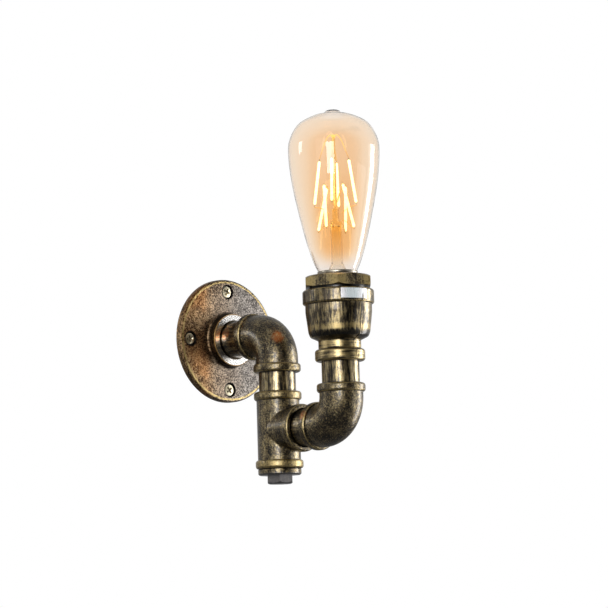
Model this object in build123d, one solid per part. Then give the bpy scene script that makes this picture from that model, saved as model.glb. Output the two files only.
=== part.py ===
from build123d import *
from math import cos, pi, radians, sin, sqrt
import os

# Industrial pipe wall light.  Millimetres.  The wall is the plane Y = 0, the lamp reaches out along -Y,
# +Z is up, and all the pipework lies in the plane X = 0.  The origin is the centre of the flange's back.

# ---------------------------------------------------------------- driving dimensions
PIPE_R = 13.2            # 3/4 inch pipe, outside
PIPE_BORE_R = 10.5
PIPE_CHAMFER = 0.8
FLANGE_NIPPLE_BACK = 1.5  # the pipe in the flange stops this far in front of the wall
SOCKET_R = 13.25         # bore of a fitting where the pipe screws in
SOCKET_DEPTH = 11.0
THREAD_IN = 10.6         # length of pipe inside a fitting

FITTING_R = 15.3         # cast body of the elbows and the tee
FITTING_BORE_R = 11.6
BEAD_R = 17.0            # reinforcing bead at each mouth
BEAD_WIDTH = 6.3
BEAD_ROUND = 2.0
MOUTH_CHAMFER = 1.0
ELBOW_A = 28.0           # centre to face
ELBOW_BEND_R = 19.0
TEE_A = 27.5
TEE_BRANCH_R = FITTING_R - 0.35
TEE_FILLET = 2.2         # where the branch meets the run

FLANGE_R = 45.0
FLANGE_THICK = 6.0
FLANGE_HUB_R = 19.0
FLANGE_FACE_Y = -12.5    # front of the hub
HOLE_CIRCLE_R = 36.0
HOLE_R = 2.9
HOLE_COUNT = 4
SINK_R = 5.3             # countersink at the front face

WALL_SCREW_R = 2.0       # over the thread, which starts at the flange's back
WALL_SCREW_SHANK_R = 1.75
WALL_SCREW_LENGTH = 30.0
WALL_SCREW_HEAD_R = 4.0
WALL_SCREW_HEAD_SINK = SINK_R - WALL_SCREW_HEAD_R - 0.32
WALL_SCREW_POINT = 5.0
CROSS_LONG = 4.6         # cross recess in the heads
CROSS_WIDE = 0.9
CROSS_DEEP = 1.1

FLANGE_GAP = 17.5        # bare pipe between the fittings
DROP_GAP = 13.7
BRANCH_GAP = 11.0
RISER_GAP = 15.2

DROP_Y = FLANGE_FACE_Y - FLANGE_GAP - ELBOW_A
TEE_Z = -ELBOW_A - DROP_GAP - TEE_A
RISER_Y = DROP_Y - TEE_A - BRANCH_GAP - ELBOW_A
RISER_FOOT_Z = TEE_Z + ELBOW_A
BELL_Z = RISER_FOOT_Z + RISER_GAP     # bottom of the bell reducer

# bell reducer, heights above its bottom
BELL_BAND_R = 17.5
BELL_BAND_TOP = 8.0
BELL_NECK_R = 14.9
BELL_NECK_TOP = 14.6
BELL_LOW_R = 21.6
BELL_LOW_Z = 20.5
BELL_HIGH_R = 23.3
BELL_RIM_Z = 39.5
BELL_RIM_R = 25.0
BELL_TOP = 50.0
BELL_MOUTH_R = 21.0
BELL_LEDGE = 31.5        # ledge that the lamp holder sits on
BELL_ROOM_R = 19.2
BELL_FLOOR = 20.2

# hex bushing that clamps the lamp holder in the bell
BUSH_HEX_FLATS = 45.0
BUSH_HEX_Z = BELL_TOP + 1.7
BUSH_HEX_HIGH = 8.0
BUSH_THREAD_R = 20.9
BUSH_BORE_R = 19.0
BUSH_LIP_R = 15.3
BUSH_LIP_THICK = 2.2
BUSH_COLLAR_R = 20.0     # turned ring between hex and rim

# lamp holder, heights above the bell's bottom
HOLDER_R = 18.6
HOLDER_COLLAR_R = 20.4
HOLDER_COLLAR_HIGH = 3.5
HOLDER_CAVITY_R = 14.3
HOLDER_FLOOR = 3.5
HOLDER_BASE_R = 18.4
HOLDER_BASE_HIGH = 6.5
HOLDER_EYE_R = 5.2       # hole in the cup's floor under the centre contact
STRIP_WIDE = 5.0         # centre contact
STRIP_THICK = 0.5
STRIP_LEG_X = 3.6
STRIP_SLOT_WIDE = 6.6
SHELL_BORE_R = 13.45
SHELL_WALL = 0.4

TERMINAL_X = 7.5
TERMINAL_SIZE = (5.0, 9.0, 5.0)
TERMINAL_SCREW_R = 1.1
TERMINAL_SCREW_Z = 2.4   # above the base's underside
TERMINAL_WIRE_DEEP = 3.6
RUNNING = 0.02           # radial clearance of a tapped hole round its screw
RIVET_X = 8.8
RIVET_R = 1.0
HOLDER_SCREW_Y = 11.5
HOLDER_SCREW_R = 1.5
HOLDER_SCREW_HEAD_R = 2.8
HOLDER_SCREW_HEAD_HIGH = 1.75
HOLDER_SCREW_GRIP = 2.4  # length in the cup

# bulb, heights above its lowest contact
CAP_R = 13.1
CAP_RIM_R = 14.1
CAP_HIGH = 27.0
CAP_WALL = 0.35
CAP_SKIRT_Z = 23.0
CONTACT_R = 4.8
BULB_R = 32.1
BULB_HIGH = 142.0
GLASS_WALL = 0.9
CONTACT_GAP = 0.2
NECK_Z = 20.0            # foot of the glass, inside the cap
STEM_R = 4.1
PRESS_Z = 61.0
PRESS_HIGH = 10.0
SPIDER_Z = 123.0
SUPPORT_R = 0.3
FILAMENT_R = 0.9
FILAMENT_COUNT = 4       # in each of two tiers
FILAMENT_TURN = 37.8
# each tier: radius and height at the top, radius and height at the foot, turn of the first, twist to the foot
FILAMENT_TIERS = ((10.4, 106.0, 14.8, 75.0, FILAMENT_TURN, 0.0), (9.3, 88.0, 14.2, 57.0, 353.0, 26.0))

# end plug of the tee
PLUG_FLATS = 17.6
PLUG_HEAD_HIGH = 6.3
PLUG_CHAMFER = 1.0       # at the foot of the head
PLUG_RING_R = 15.4
PLUG_RING_HIGH = 4.5
PLUG_BARREL = 9.0
PLUG_BORE_R = 8.0
HEX_TURN = 48.0          # both hexagons show a corner to the left of the front

# internal wiring
WIRE_R = 1.1
WIRE_X = 6.0
BLOCK_PITCH = 6.0
BLOCK_LONG = 15.0
BLOCK_HIGH = 8.8
BLOCK_Y = -23.5          # front end of the terminal block, inside the flange nipple
BLOCK_SCREW_AT = (4.0, 11.0)
BLOCK_SLOT = 2.4         # waist between the two rows of screws
BLOCK_SCREW_HOLE_R = 1.35
BARREL_R = 2.2
BARREL_WIRE_DEEP = 6.4
BARREL_SCREW_R = 1.0
EARTH_Y = 14.0           # earth screw, behind the riser's axis
EARTH_WIRE_Y = 7.6
EARTH_SCREW_R = 2.0
EARTH_SCREW_DEEP = 4.0
EARTH_SCREW_HEAD_R = 3.3
EARTH_SCREW_HEAD_HIGH = 2.0
TAG_THICK = 0.8

LEDGE_Z = BELL_Z + BELL_LEDGE
BASE_Z = LEDGE_Z - HOLDER_BASE_HIGH
CAVITY_Z = LEDGE_Z + HOLDER_FLOOR
BUSH_TOP_Z = BELL_Z + BUSH_HEX_Z + BUSH_HEX_HIGH
HOLDER_TOP_Z = BUSH_TOP_Z - BUSH_LIP_THICK - 0.2
CONTACT_TOP_Z = CAVITY_Z + 0.8
BULB_Z = CONTACT_TOP_Z + CONTACT_GAP

TO_ROOM = Plane(origin=(0, 0, 0), x_dir=(1, 0, 0), z_dir=(0, -1, 0))   # local Z runs out from the wall
RISER = Pos(0, RISER_Y, 0)
DROP = Pos(0, DROP_Y, 0)
IN_FLANGE = Plane(origin=(0, BLOCK_Y + BLOCK_LONG, 0), x_dir=(1, 0, 0), z_dir=(0, -1, 0))   # terminal block's seat


# ---------------------------------------------------------------- helpers
def outline(points, rounds=()):
    """A face in the XZ plane through (radius, height) points, with some corners rounded."""
    face = make_face(Polyline(*[(r, 0, z) for r, z in points], close=True))
    for (r, z), radius in rounds:
        corner = face.vertices().sort_by_distance((r, 0, z))[0]
        face = fillet(corner, radius)
    return face


def turned(points, rounds=()):
    """A solid of revolution about Z."""
    return revolve(outline(points, rounds), Axis.Z)


def rod(radius, z0, z1):
    """A cylinder on Z from z0 to z1."""
    return Pos(0, 0, z0) * Cylinder(radius, z1 - z0, align=(Align.CENTER, Align.CENTER, Align.MIN))


def block(x, y, z, z0=0.0):
    """A box centred on X and Y that stands on z0."""
    return Pos(0, 0, z0) * Box(x, y, z, align=(Align.CENTER, Align.CENTER, Align.MIN))


def hexagon(flats, z0, z1, turn=0.0):
    """A hexagonal prism on Z."""
    face = Pos(0, 0, z0) * RegularPolygon(flats / sqrt(3), 6, rotation=turn)
    return extrude(face, z1 - z0)


def bead(z_face, depth):
    """The bead round a fitting's mouth: a ring from z_face down to z_face - depth."""
    return turned(
        [(FITTING_R - 2, z_face - depth), (BEAD_R, z_face - depth), (BEAD_R, z_face), (FITTING_R - 2, z_face)],
        [((BEAD_R, z_face - depth), BEAD_ROUND), ((BEAD_R, z_face), BEAD_ROUND)],
    )


def mouth(z_face):
    """The threaded bore at a fitting's mouth, with a chamfered entry."""
    c = MOUTH_CHAMFER
    past = 0.2
    top = z_face + past
    entry = turned([(0, top - c), (SOCKET_R, top - c), (SOCKET_R + c, top), (0, top)])
    return rod(SOCKET_R, z_face - SOCKET_DEPTH, top) + entry


def nipple(length):
    """A length of pipe with chamfered ends, standing on Z = 0."""
    c = PIPE_CHAMFER
    return turned(
        [(PIPE_BORE_R, 0), (PIPE_R - c, 0), (PIPE_R, c), (PIPE_R, length - c), (PIPE_R - c, length),
         (PIPE_BORE_R, length)]
    )


def clamp_axis(x, z):
    """A plane at (x, 0, z) with its local Z along +Y, for the clamp screws that cross a wire."""
    return Plane(origin=(x, 0, z), x_dir=(1, 0, 0), z_dir=(0, 1, 0))


# ---------------------------------------------------------------- flange and its screws
def hole_places():
    """The four screw holes: top, bottom and both sides, at equal angles."""
    return [
        Pos(HOLE_CIRCLE_R * cos(a), 0, HOLE_CIRCLE_R * sin(a))
        for a in (radians(i * 360 / HOLE_COUNT) for i in range(HOLE_COUNT))
    ]


def wall_flange():
    """Cast disc with a rounded rim, a raised hub and four countersunk holes."""
    hub_top = -FLANGE_FACE_Y
    disc = turned(
        [(SOCKET_R, 0), (FLANGE_R, 0), (FLANGE_R, FLANGE_THICK - 0.6), (FLANGE_R - 8, FLANGE_THICK),
         (FLANGE_HUB_R + 0.8, FLANGE_THICK), (FLANGE_HUB_R, hub_top), (SOCKET_R, hub_top)],
        [((FLANGE_R, FLANGE_THICK - 0.6), 1.8), ((FLANGE_R, 0), 0.8), ((FLANGE_HUB_R + 0.8, FLANGE_THICK), 2.0),
         ((FLANGE_HUB_R, hub_top), 1.0)],
    )
    sink = SINK_R - HOLE_R
    drill = rod(HOLE_R, -1, FLANGE_THICK + 1) + turned(
        [(0, FLANGE_THICK - sink), (HOLE_R, FLANGE_THICK - sink), (SINK_R, FLANGE_THICK),
         (SINK_R, FLANGE_THICK + 1), (0, FLANGE_THICK + 1)]
    )
    flange = TO_ROOM * disc
    for place in hole_places():
        flange -= place * (TO_ROOM * drill)
    return flange


def wall_screws():
    """Four countersunk cross-head wood screws, seated in the flange and reaching into the wall."""
    head_top = FLANGE_THICK - WALL_SCREW_HEAD_SINK
    cone = WALL_SCREW_HEAD_R - WALL_SCREW_SHANK_R
    step = WALL_SCREW_R - WALL_SCREW_SHANK_R
    tip = head_top - WALL_SCREW_LENGTH
    screw = turned(
        [(0, tip), (WALL_SCREW_R, tip + WALL_SCREW_POINT), (WALL_SCREW_R, 0), (WALL_SCREW_SHANK_R, step),
         (WALL_SCREW_SHANK_R, head_top - cone - 0.3),
         (WALL_SCREW_HEAD_R, head_top - 0.3), (WALL_SCREW_HEAD_R, head_top), (0, head_top + 0.45)]
    )
    slot = block(CROSS_LONG, CROSS_WIDE, CROSS_DEEP + 1, head_top - CROSS_DEEP)
    screw -= slot + Rot(0, 0, 90) * slot
    screw = Rot(0, 0, 38) * screw
    return [place * (TO_ROOM * screw) for place in hole_places()]


# ---------------------------------------------------------------- pipe fittings
def elbow():
    """A beaded 90 degree elbow: one mouth faces +X, the other +Z, and the axes cross at the origin."""
    path = FilletPolyline((ELBOW_A, 0, 0), (0, 0, 0), (0, 0, ELBOW_A), radius=ELBOW_BEND_R)
    start = Plane(origin=(ELBOW_A, 0, 0), x_dir=(0, 1, 0), z_dir=(-1, 0, 0))
    body = sweep(start * Circle(FITTING_R), path)
    to_x = Plane(origin=(0, 0, 0), x_dir=(0, 1, 0), z_dir=(1, 0, 0))
    body += bead(ELBOW_A, BEAD_WIDTH) + to_x * bead(ELBOW_A, BEAD_WIDTH)
    body -= sweep(start * Circle(FITTING_BORE_R), path)
    return body - mouth(ELBOW_A) - to_x * mouth(ELBOW_A)


def upper_elbow():
    """Turns the pipe from the wall downwards."""
    return DROP * (Plane(origin=(0, 0, 0), x_dir=(0, 1, 0), z_dir=(0, 0, -1)) * elbow())


def lower_elbow():
    """Turns the pipe from the tee upwards."""
    return Pos(0, RISER_Y, TEE_Z) * (Plane(origin=(0, 0, 0), x_dir=(0, 1, 0), z_dir=(0, 0, 1)) * elbow())


def tee():
    """Beaded tee: the run is vertical and the branch faces the room."""
    centre = Pos(0, DROP_Y, TEE_Z)
    run = rod(FITTING_R, -TEE_A, TEE_A)
    branch = TO_ROOM * rod(TEE_BRANCH_R, 0, TEE_A)
    body = run + branch
    body = fillet(body.edges().filter_by(GeomType.BSPLINE), TEE_FILLET)
    flip = Rot(180, 0, 0)
    body += bead(TEE_A, BEAD_WIDTH) + flip * bead(TEE_A, BEAD_WIDTH) + TO_ROOM * bead(TEE_A, BEAD_WIDTH)
    body -= rod(FITTING_BORE_R, -TEE_A, TEE_A) + TO_ROOM * rod(FITTING_BORE_R, 0, TEE_A)
    body -= mouth(TEE_A) + flip * mouth(TEE_A) + TO_ROOM * mouth(TEE_A)
    return centre * body


def end_plug():
    """Plug in the tee's foot: threaded barrel, round shoulder and a chamfered hexagon head."""
    foot = -PLUG_RING_HIGH - PLUG_HEAD_HIGH
    barrel = turned([(PLUG_BORE_R, -0.2), (PIPE_R, -0.2), (PIPE_R, PLUG_BARREL - PIPE_CHAMFER),
                     (PIPE_R - PIPE_CHAMFER, PLUG_BARREL), (PLUG_BORE_R, PLUG_BARREL)])
    ring = turned(
        [(0, -0.1), (PLUG_RING_R - 0.4, -0.1), (PLUG_RING_R, -0.6), (PLUG_RING_R, 0.9 - PLUG_RING_HIGH),
         (PLUG_RING_R - 1, -PLUG_RING_HIGH), (0, -PLUG_RING_HIGH)],
        [((PLUG_RING_R, 0.9 - PLUG_RING_HIGH), 0.6), ((PLUG_RING_R - 1, -PLUG_RING_HIGH), 0.4)],
    )
    head = hexagon(PLUG_FLATS, foot, 0.1 - PLUG_RING_HIGH, HEX_TURN)
    flat_r = PLUG_FLATS / 2
    edge = (flat_r + 3, foot + PLUG_CHAMFER + 2)
    chamfers = turned(
        [(0, foot), (flat_r - PLUG_CHAMFER, foot), edge, (edge[0], -4), (0, -4)],
        [((flat_r - PLUG_CHAMFER, foot), 2.0)],
    )
    return Pos(0, DROP_Y, TEE_Z - TEE_A) * (barrel + ring + (head & chamfers))


def flange_nipple():
    """From just in front of the wall, through the hub, into the upper elbow."""
    length = -(DROP_Y + ELBOW_A) + THREAD_IN - FLANGE_NIPPLE_BACK
    return Pos(0, -FLANGE_NIPPLE_BACK, 0) * (TO_ROOM * nipple(length))


def drop_nipple():
    """Between the upper elbow and the tee."""
    return Pos(0, DROP_Y, TEE_Z + TEE_A - THREAD_IN) * nipple(DROP_GAP + 2 * THREAD_IN)


def branch_nipple():
    """Between the tee and the lower elbow."""
    return Pos(0, DROP_Y - TEE_A + THREAD_IN, TEE_Z) * (TO_ROOM * nipple(BRANCH_GAP + 2 * THREAD_IN))


def riser_nipple():
    """Between the lower elbow and the bell reducer."""
    return RISER * (Pos(0, 0, RISER_FOOT_Z - THREAD_IN) * nipple(RISER_GAP + 2 * THREAD_IN))


# ---------------------------------------------------------------- bell reducer and bushing
def bell_reducer():
    """Bell-shaped reducing socket: small beaded mouth, neck, swelling body and a broad rim."""
    wall = turned(
        [
            (SOCKET_R, 0), (BELL_BAND_R, 0), (BELL_BAND_R, BELL_BAND_TOP), (BELL_NECK_R, BELL_BAND_TOP + 0.6),
            (BELL_NECK_R, BELL_NECK_TOP), (BELL_LOW_R - 1.2, BELL_NECK_TOP + 2.6), (BELL_LOW_R, BELL_LOW_Z),
            (BELL_HIGH_R, BELL_RIM_Z - 5), (BELL_HIGH_R, BELL_RIM_Z), (BELL_RIM_R, BELL_RIM_Z + 0.9),
            (BELL_RIM_R, BELL_TOP), (BELL_MOUTH_R, BELL_TOP), (BELL_MOUTH_R, BELL_LEDGE),
            (BELL_ROOM_R, BELL_LEDGE), (BELL_ROOM_R, BELL_FLOOR), (FITTING_BORE_R, BELL_FLOOR),
            (FITTING_BORE_R, SOCKET_DEPTH), (SOCKET_R, SOCKET_DEPTH),
        ],
        [
            ((BELL_BAND_R, 0), BEAD_ROUND), ((BELL_BAND_R, BELL_BAND_TOP), BEAD_ROUND),
            ((BELL_NECK_R, BELL_BAND_TOP + 0.6), 0.8), ((BELL_NECK_R, BELL_NECK_TOP), 1.0),
            ((BELL_LOW_R - 1.2, BELL_NECK_TOP + 2.6), 2.6), ((BELL_LOW_R, BELL_LOW_Z), 6.0),
            ((BELL_HIGH_R, BELL_RIM_Z - 5), 12.0), ((BELL_HIGH_R, BELL_RIM_Z), 0.6),
            ((BELL_RIM_R, BELL_RIM_Z + 0.9), 1.5), ((BELL_RIM_R, BELL_TOP), 1.8),
            ((BELL_ROOM_R, BELL_FLOOR), 1.2),
        ],
    )
    wall -= Pos(0, EARTH_Y, 0) * rod(EARTH_SCREW_R, BELL_FLOOR - EARTH_SCREW_DEEP, BELL_FLOOR + 1)
    return RISER * (Pos(0, 0, BELL_Z) * wall)


def hex_bushing():
    """Hexagon bushing in the bell's mouth: it clamps the lamp holder and lets the bulb's cap through."""
    z0 = LEDGE_Z + HOLDER_COLLAR_HIGH
    hex_z = BELL_Z + BUSH_HEX_Z
    rim = BELL_Z + BELL_TOP
    body = turned(
        [(BUSH_BORE_R, z0), (BUSH_THREAD_R, z0), (BUSH_THREAD_R, rim - 1.0), (BUSH_COLLAR_R, rim - 0.6),
         (BUSH_COLLAR_R, hex_z + 1), (BUSH_BORE_R, hex_z + 1)]
    )
    flat_r = BUSH_HEX_FLATS / 2
    nut = hexagon(BUSH_HEX_FLATS, hex_z, BUSH_TOP_Z, HEX_TURN) & turned(
        [(0, hex_z), (flat_r + 1.2, hex_z), (flat_r + 4, hex_z + 1.4), (flat_r + 4, BUSH_TOP_Z - 2.4),
         (flat_r - 0.4, BUSH_TOP_Z), (0, BUSH_TOP_Z)]
    )
    nut -= rod(BUSH_BORE_R, hex_z - 1, BUSH_TOP_Z - BUSH_LIP_THICK)
    nut -= rod(BUSH_LIP_R, hex_z, BUSH_TOP_Z + 1)
    return RISER * (body + nut)


# ---------------------------------------------------------------- lamp holder
def holder_body():
    """Porcelain cup of the lamp holder, with the collar that sits on the bell's ledge."""
    cup = turned(
        [
            (HOLDER_EYE_R, LEDGE_Z), (HOLDER_COLLAR_R, LEDGE_Z), (HOLDER_COLLAR_R, LEDGE_Z + HOLDER_COLLAR_HIGH),
            (HOLDER_R, LEDGE_Z + HOLDER_COLLAR_HIGH), (HOLDER_R, HOLDER_TOP_Z), (HOLDER_CAVITY_R, HOLDER_TOP_Z),
            (HOLDER_CAVITY_R, CAVITY_Z), (HOLDER_EYE_R, CAVITY_Z),
        ],
        [((HOLDER_R, HOLDER_TOP_Z), 1.0), ((HOLDER_CAVITY_R, HOLDER_TOP_Z), 0.8)],
    )
    cup -= Pos(RIVET_X / 2, 0, 0) * block(RIVET_X + 4, STRIP_SLOT_WIDE, HOLDER_FLOOR + 1, LEDGE_Z - 0.5)
    cup -= Pos(-RIVET_X, 0, 0) * rod(RIVET_R + 0.05, LEDGE_Z - 1, CAVITY_Z + 1)
    for y in (-HOLDER_SCREW_Y, HOLDER_SCREW_Y):
        cup -= Pos(0, y, 0) * rod(HOLDER_SCREW_R + 0.05, LEDGE_Z - 1, LEDGE_Z + HOLDER_SCREW_GRIP + 0.4)
    return RISER * cup


def holder_base():
    """Porcelain base under the cup: pockets for two terminals and holes for screws and rivets."""
    tx, ty, tz = TERMINAL_SIZE
    base = turned(
        [(0, BASE_Z), (HOLDER_BASE_R, BASE_Z), (HOLDER_BASE_R, LEDGE_Z - 0.05), (0, LEDGE_Z - 0.05)],
        [((HOLDER_BASE_R, BASE_Z), 1.0)],
    )
    pocket_end = HOLDER_BASE_R + 1
    pocket_start = -ty / 2 - 0.1
    for side in (-1, 1):
        pocket = block(tx + 0.2, pocket_end - pocket_start, tz + 0.2, BASE_Z - 0.1)
        base -= Pos(side * TERMINAL_X, (pocket_start + pocket_end) / 2, 0) * pocket
        base -= Pos(side * RIVET_X, 0, 0) * rod(RIVET_R + 0.05, BASE_Z, LEDGE_Z + 1)
    screw_hole = rod(HOLDER_SCREW_R + 0.1, BASE_Z - 1, LEDGE_Z + 1)
    screw_hole += rod(HOLDER_SCREW_HEAD_R + 0.2, BASE_Z - 1, BASE_Z + HOLDER_SCREW_HEAD_HIGH + 0.05)
    for y in (-HOLDER_SCREW_Y, HOLDER_SCREW_Y):
        base -= Pos(0, y, 0) * screw_hole
    return RISER * base


def holder_screws():
    """Two pan-head screws that hold the porcelain base to the cup."""
    seat = HOLDER_SCREW_HEAD_HIGH
    end = HOLDER_BASE_HIGH + HOLDER_SCREW_GRIP
    screw = turned(
        [(0, -0.2), (HOLDER_SCREW_HEAD_R - 0.5, -0.2), (HOLDER_SCREW_HEAD_R, 0.4), (HOLDER_SCREW_HEAD_R, seat),
         (HOLDER_SCREW_R, seat), (HOLDER_SCREW_R, end), (0, end)]
    ) - block(2 * HOLDER_SCREW_HEAD_R, 0.8, 0.8, -0.4)
    return [RISER * (Pos(0, y, BASE_Z) * screw) for y in (-HOLDER_SCREW_Y, HOLDER_SCREW_Y)]


def screw_shell():
    """Brass shell with a turned-in foot; its wall is plain where the real one is pressed into a thread."""
    r = SHELL_BORE_R
    foot_r = RIVET_X - 2.2
    top = HOLDER_TOP_Z - 1.2
    shell = turned(
        [(foot_r, CAVITY_Z), (r + SHELL_WALL, CAVITY_Z), (r + SHELL_WALL, top), (r, top),
         (r, CAVITY_Z + SHELL_WALL), (foot_r, CAVITY_Z + SHELL_WALL)]
    )
    shell -= Pos(-RIVET_X, 0, 0) * rod(RIVET_R + RUNNING, CAVITY_Z - 1, CAVITY_Z + 1)
    return RISER * shell


def centre_contact():
    """Bent bronze strip: a foot in the floor's slot, a leg and the spring plate under the bulb's contact."""
    t = STRIP_THICK
    high = CONTACT_TOP_Z - t - LEDGE_Z
    strip = Pos(RIVET_X / 2 + 1.2, 0, 0) * block(RIVET_X - 0.4, STRIP_WIDE, t, LEDGE_Z)
    strip += Pos(STRIP_LEG_X + t / 2, 0, 0) * block(t, STRIP_WIDE, high + 0.01, LEDGE_Z)
    strip += Pos(0.05, 0, 0) * block(2 * STRIP_LEG_X + 0.4, STRIP_WIDE, t, LEDGE_Z + high)
    strip -= Pos(RIVET_X, 0, 0) * rod(RIVET_R + RUNNING, LEDGE_Z - 1, LEDGE_Z + 2)
    return RISER * strip


def terminal(side):
    """Brass terminal block in the base, with a hole for the wire and a tapped hole for its screw."""
    tx, ty, tz = TERMINAL_SIZE
    body = Pos(side * TERMINAL_X, 0, 0) * block(tx, ty, tz, BASE_Z + 0.05)
    body -= Pos(side * WIRE_X, 0, 0) * rod(WIRE_R + 0.05, BASE_Z - 1, BASE_Z + TERMINAL_WIRE_DEEP)
    body -= Pos(side * RIVET_X, 0, 0) * rod(RIVET_R + RUNNING, BASE_Z + 1, BASE_Z + tz + 1)
    body -= clamp_axis(side * WIRE_X, BASE_Z + TERMINAL_SCREW_Z) * rod(TERMINAL_SCREW_R + RUNNING, 0, ty)
    return RISER * body


def terminal_screws():
    """Two grub screws that clamp the wires in the terminals."""
    half = TERMINAL_SIZE[1] / 2
    screw = rod(TERMINAL_SCREW_R, WIRE_R + 0.1, half + 0.6)
    screw -= block(2 * TERMINAL_SCREW_R + 1, 0.5, 0.8, half)
    return [RISER * (clamp_axis(side * WIRE_X, BASE_Z + TERMINAL_SCREW_Z) * screw) for side in (-1, 1)]


def rivets():
    """Two rivets: one ties the live terminal to the centre contact, the other the neutral one to the shell."""
    out = []
    for side, seat in ((1, LEDGE_Z + STRIP_THICK), (-1, CAVITY_Z + SHELL_WALL)):
        rivet = rod(RIVET_R, BASE_Z + 2.0, seat) + rod(RIVET_R + 0.6, seat, seat + 0.4)
        out.append(RISER * (Pos(side * RIVET_X, 0, 0) * rivet))
    return out


def earth_tag():
    """Ring tag on the bell's floor, with the barrel that holds the earth wire."""
    z = BELL_Z + BELL_FLOOR
    ring = rod(3.6, z, z + TAG_THICK) + Pos(0, -4.4, 0) * block(3.0, 4.0, TAG_THICK, z)
    ring -= rod(EARTH_SCREW_R + 0.1, z - 1, z + 2)
    wire_hole = rod(WIRE_R, z - 4, z + 4)
    barrel = rod(WIRE_R + 0.5, z - 2.4, z + TAG_THICK + 0.6)
    at_wire = Pos(0, EARTH_WIRE_Y, 0)
    return RISER * (Pos(0, EARTH_Y, 0) * ring + at_wire * barrel - at_wire * wire_hole)


def earth_screw():
    """Pan-head screw that holds the earth tag to the bell's floor."""
    r = EARTH_SCREW_R - RUNNING
    tip = BELL_Z + BELL_FLOOR - EARTH_SCREW_DEEP + 0.3
    seat = BELL_Z + BELL_FLOOR + TAG_THICK
    top = seat + EARTH_SCREW_HEAD_HIGH
    screw = turned(
        [(0, tip), (r, tip), (r, seat), (EARTH_SCREW_HEAD_R, seat), (EARTH_SCREW_HEAD_R, top - 0.6),
         (EARTH_SCREW_HEAD_R - 0.6, top), (0, top)]
    ) - block(8, 0.8, 1.0, top - 0.8)
    return RISER * (Pos(0, EARTH_Y, 0) * screw)


# ---------------------------------------------------------------- wiring
def wire(points, radii):
    """An insulated wire along straight runs joined by arcs."""
    path = FilletPolyline(*points, radius=radii)
    first = Vector(*points[1]) - Vector(*points[0])
    start = Plane(origin=points[0], z_dir=first)
    solid = sweep(start * Circle(WIRE_R), path)
    print(f"wire: {path.length:.0f} mm, arcs {radii}, volume error "
          f"{solid.volume / (pi * WIRE_R**2 * path.length) - 1:+.3%}")
    return solid


def power_wire(side):
    """Live or neutral: from its lamp holder terminal, down the riser and back to the terminal block."""
    x = side * WIRE_X
    return wire(
        [(x, RISER_Y, BASE_Z + 3.2), (x, RISER_Y, TEE_Z), (x, DROP_Y, TEE_Z), (x, DROP_Y, 0),
         (x, BLOCK_Y + 4.0, 0)],
        [19.0, 8.0, 18.0],
    )


def earth_wire():
    """From the tag on the bell's floor, through the pipes, to the middle pole of the terminal block."""
    y0 = RISER_Y + EARTH_WIRE_Y
    z0 = BELL_Z + BELL_FLOOR + TAG_THICK + 0.4
    return wire(
        [(0, y0, z0), (0, y0, BELL_Z + 8), (0, RISER_Y, BELL_Z - 14), (0, RISER_Y, TEE_Z), (0, DROP_Y, TEE_Z),
         (0, DROP_Y, 0), (0, BLOCK_Y + 4.0, 0)],
        [20.0, 20.0, 17.0, 8.0, 18.0],
    )


def poles():
    """The three places across the terminal block."""
    return [Pos(i * BLOCK_PITCH, 0, 0) for i in (-1, 0, 1)]


def terminal_block():
    """Three-pole connector strip inside the flange nipple, open at both ends for the wires."""
    wide = 3 * BLOCK_PITCH - 0.4
    shell = block(wide, BLOCK_HIGH, BLOCK_LONG)
    shell = chamfer(shell.edges().filter_by(Axis.Z), 1.2)
    waist_z = (BLOCK_LONG - BLOCK_SLOT) / 2
    core = block(wide + 1, BLOCK_HIGH - 2.4, BLOCK_SLOT, waist_z)
    shell -= block(wide + 1, BLOCK_HIGH, BLOCK_SLOT, waist_z) - core
    for place in poles():
        shell -= place * rod(BARREL_R + 0.05, -1, BLOCK_LONG + 1)
        for z in BLOCK_SCREW_AT:
            shell -= place * (clamp_axis(0, z) * rod(BLOCK_SCREW_HOLE_R, 0, 6))
    return IN_FLANGE * shell


def terminal_barrels():
    """Three brass barrels that join the lamp's wires to the supply."""
    barrel = rod(BARREL_R, 1.0, BLOCK_LONG - 1.0)
    for start in (0, BLOCK_LONG - BARREL_WIRE_DEEP):
        barrel -= rod(WIRE_R + 0.08, start, start + BARREL_WIRE_DEEP)
    for z in BLOCK_SCREW_AT:
        barrel -= clamp_axis(0, z) * rod(BARREL_SCREW_R + RUNNING, 0, 4)
    return [IN_FLANGE * (place * barrel) for place in poles()]


def terminal_block_screws():
    """Six clamp screws, two to a pole."""
    top = BLOCK_HIGH / 2 - 0.6
    screw = rod(BARREL_SCREW_R, WIRE_R + 0.15, top) - block(4, 0.5, 0.7, top - 0.6)
    return [IN_FLANGE * (place * (clamp_axis(0, z) * screw)) for place in poles() for z in BLOCK_SCREW_AT]


# ---------------------------------------------------------------- bulb, heights above its contact
def seated(shape):
    """Put a piece of the bulb in the lamp holder."""
    return Pos(0, RISER_Y, BULB_Z) * shape


def strut(p, q, radius):
    """A straight round wire from p to q."""
    run = Vector(*q) - Vector(*p)
    return Plane(origin=p, z_dir=run) * rod(radius, 0, run.length)


def cap_contact():
    """Centre contact with a rounded edge."""
    r = CONTACT_R
    return seated(turned([(0, 0), (r - 1.4, 0), (r, 0.7), (r, 1.5), (0, 1.5)], [((r - 1.4, 0), 0.8)]))


def cap_insulator():
    """Black glass cone between the centre contact and the cap's shell."""
    r = CONTACT_R
    return seated(turned([(0, 1.55), (r + 0.05, 1.55), (r + 0.05, 0.9), (r + 0.9, 0.9), (11.4, 4.2), (11.4, 5.2),
                          (0, 5.2)]))


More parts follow.
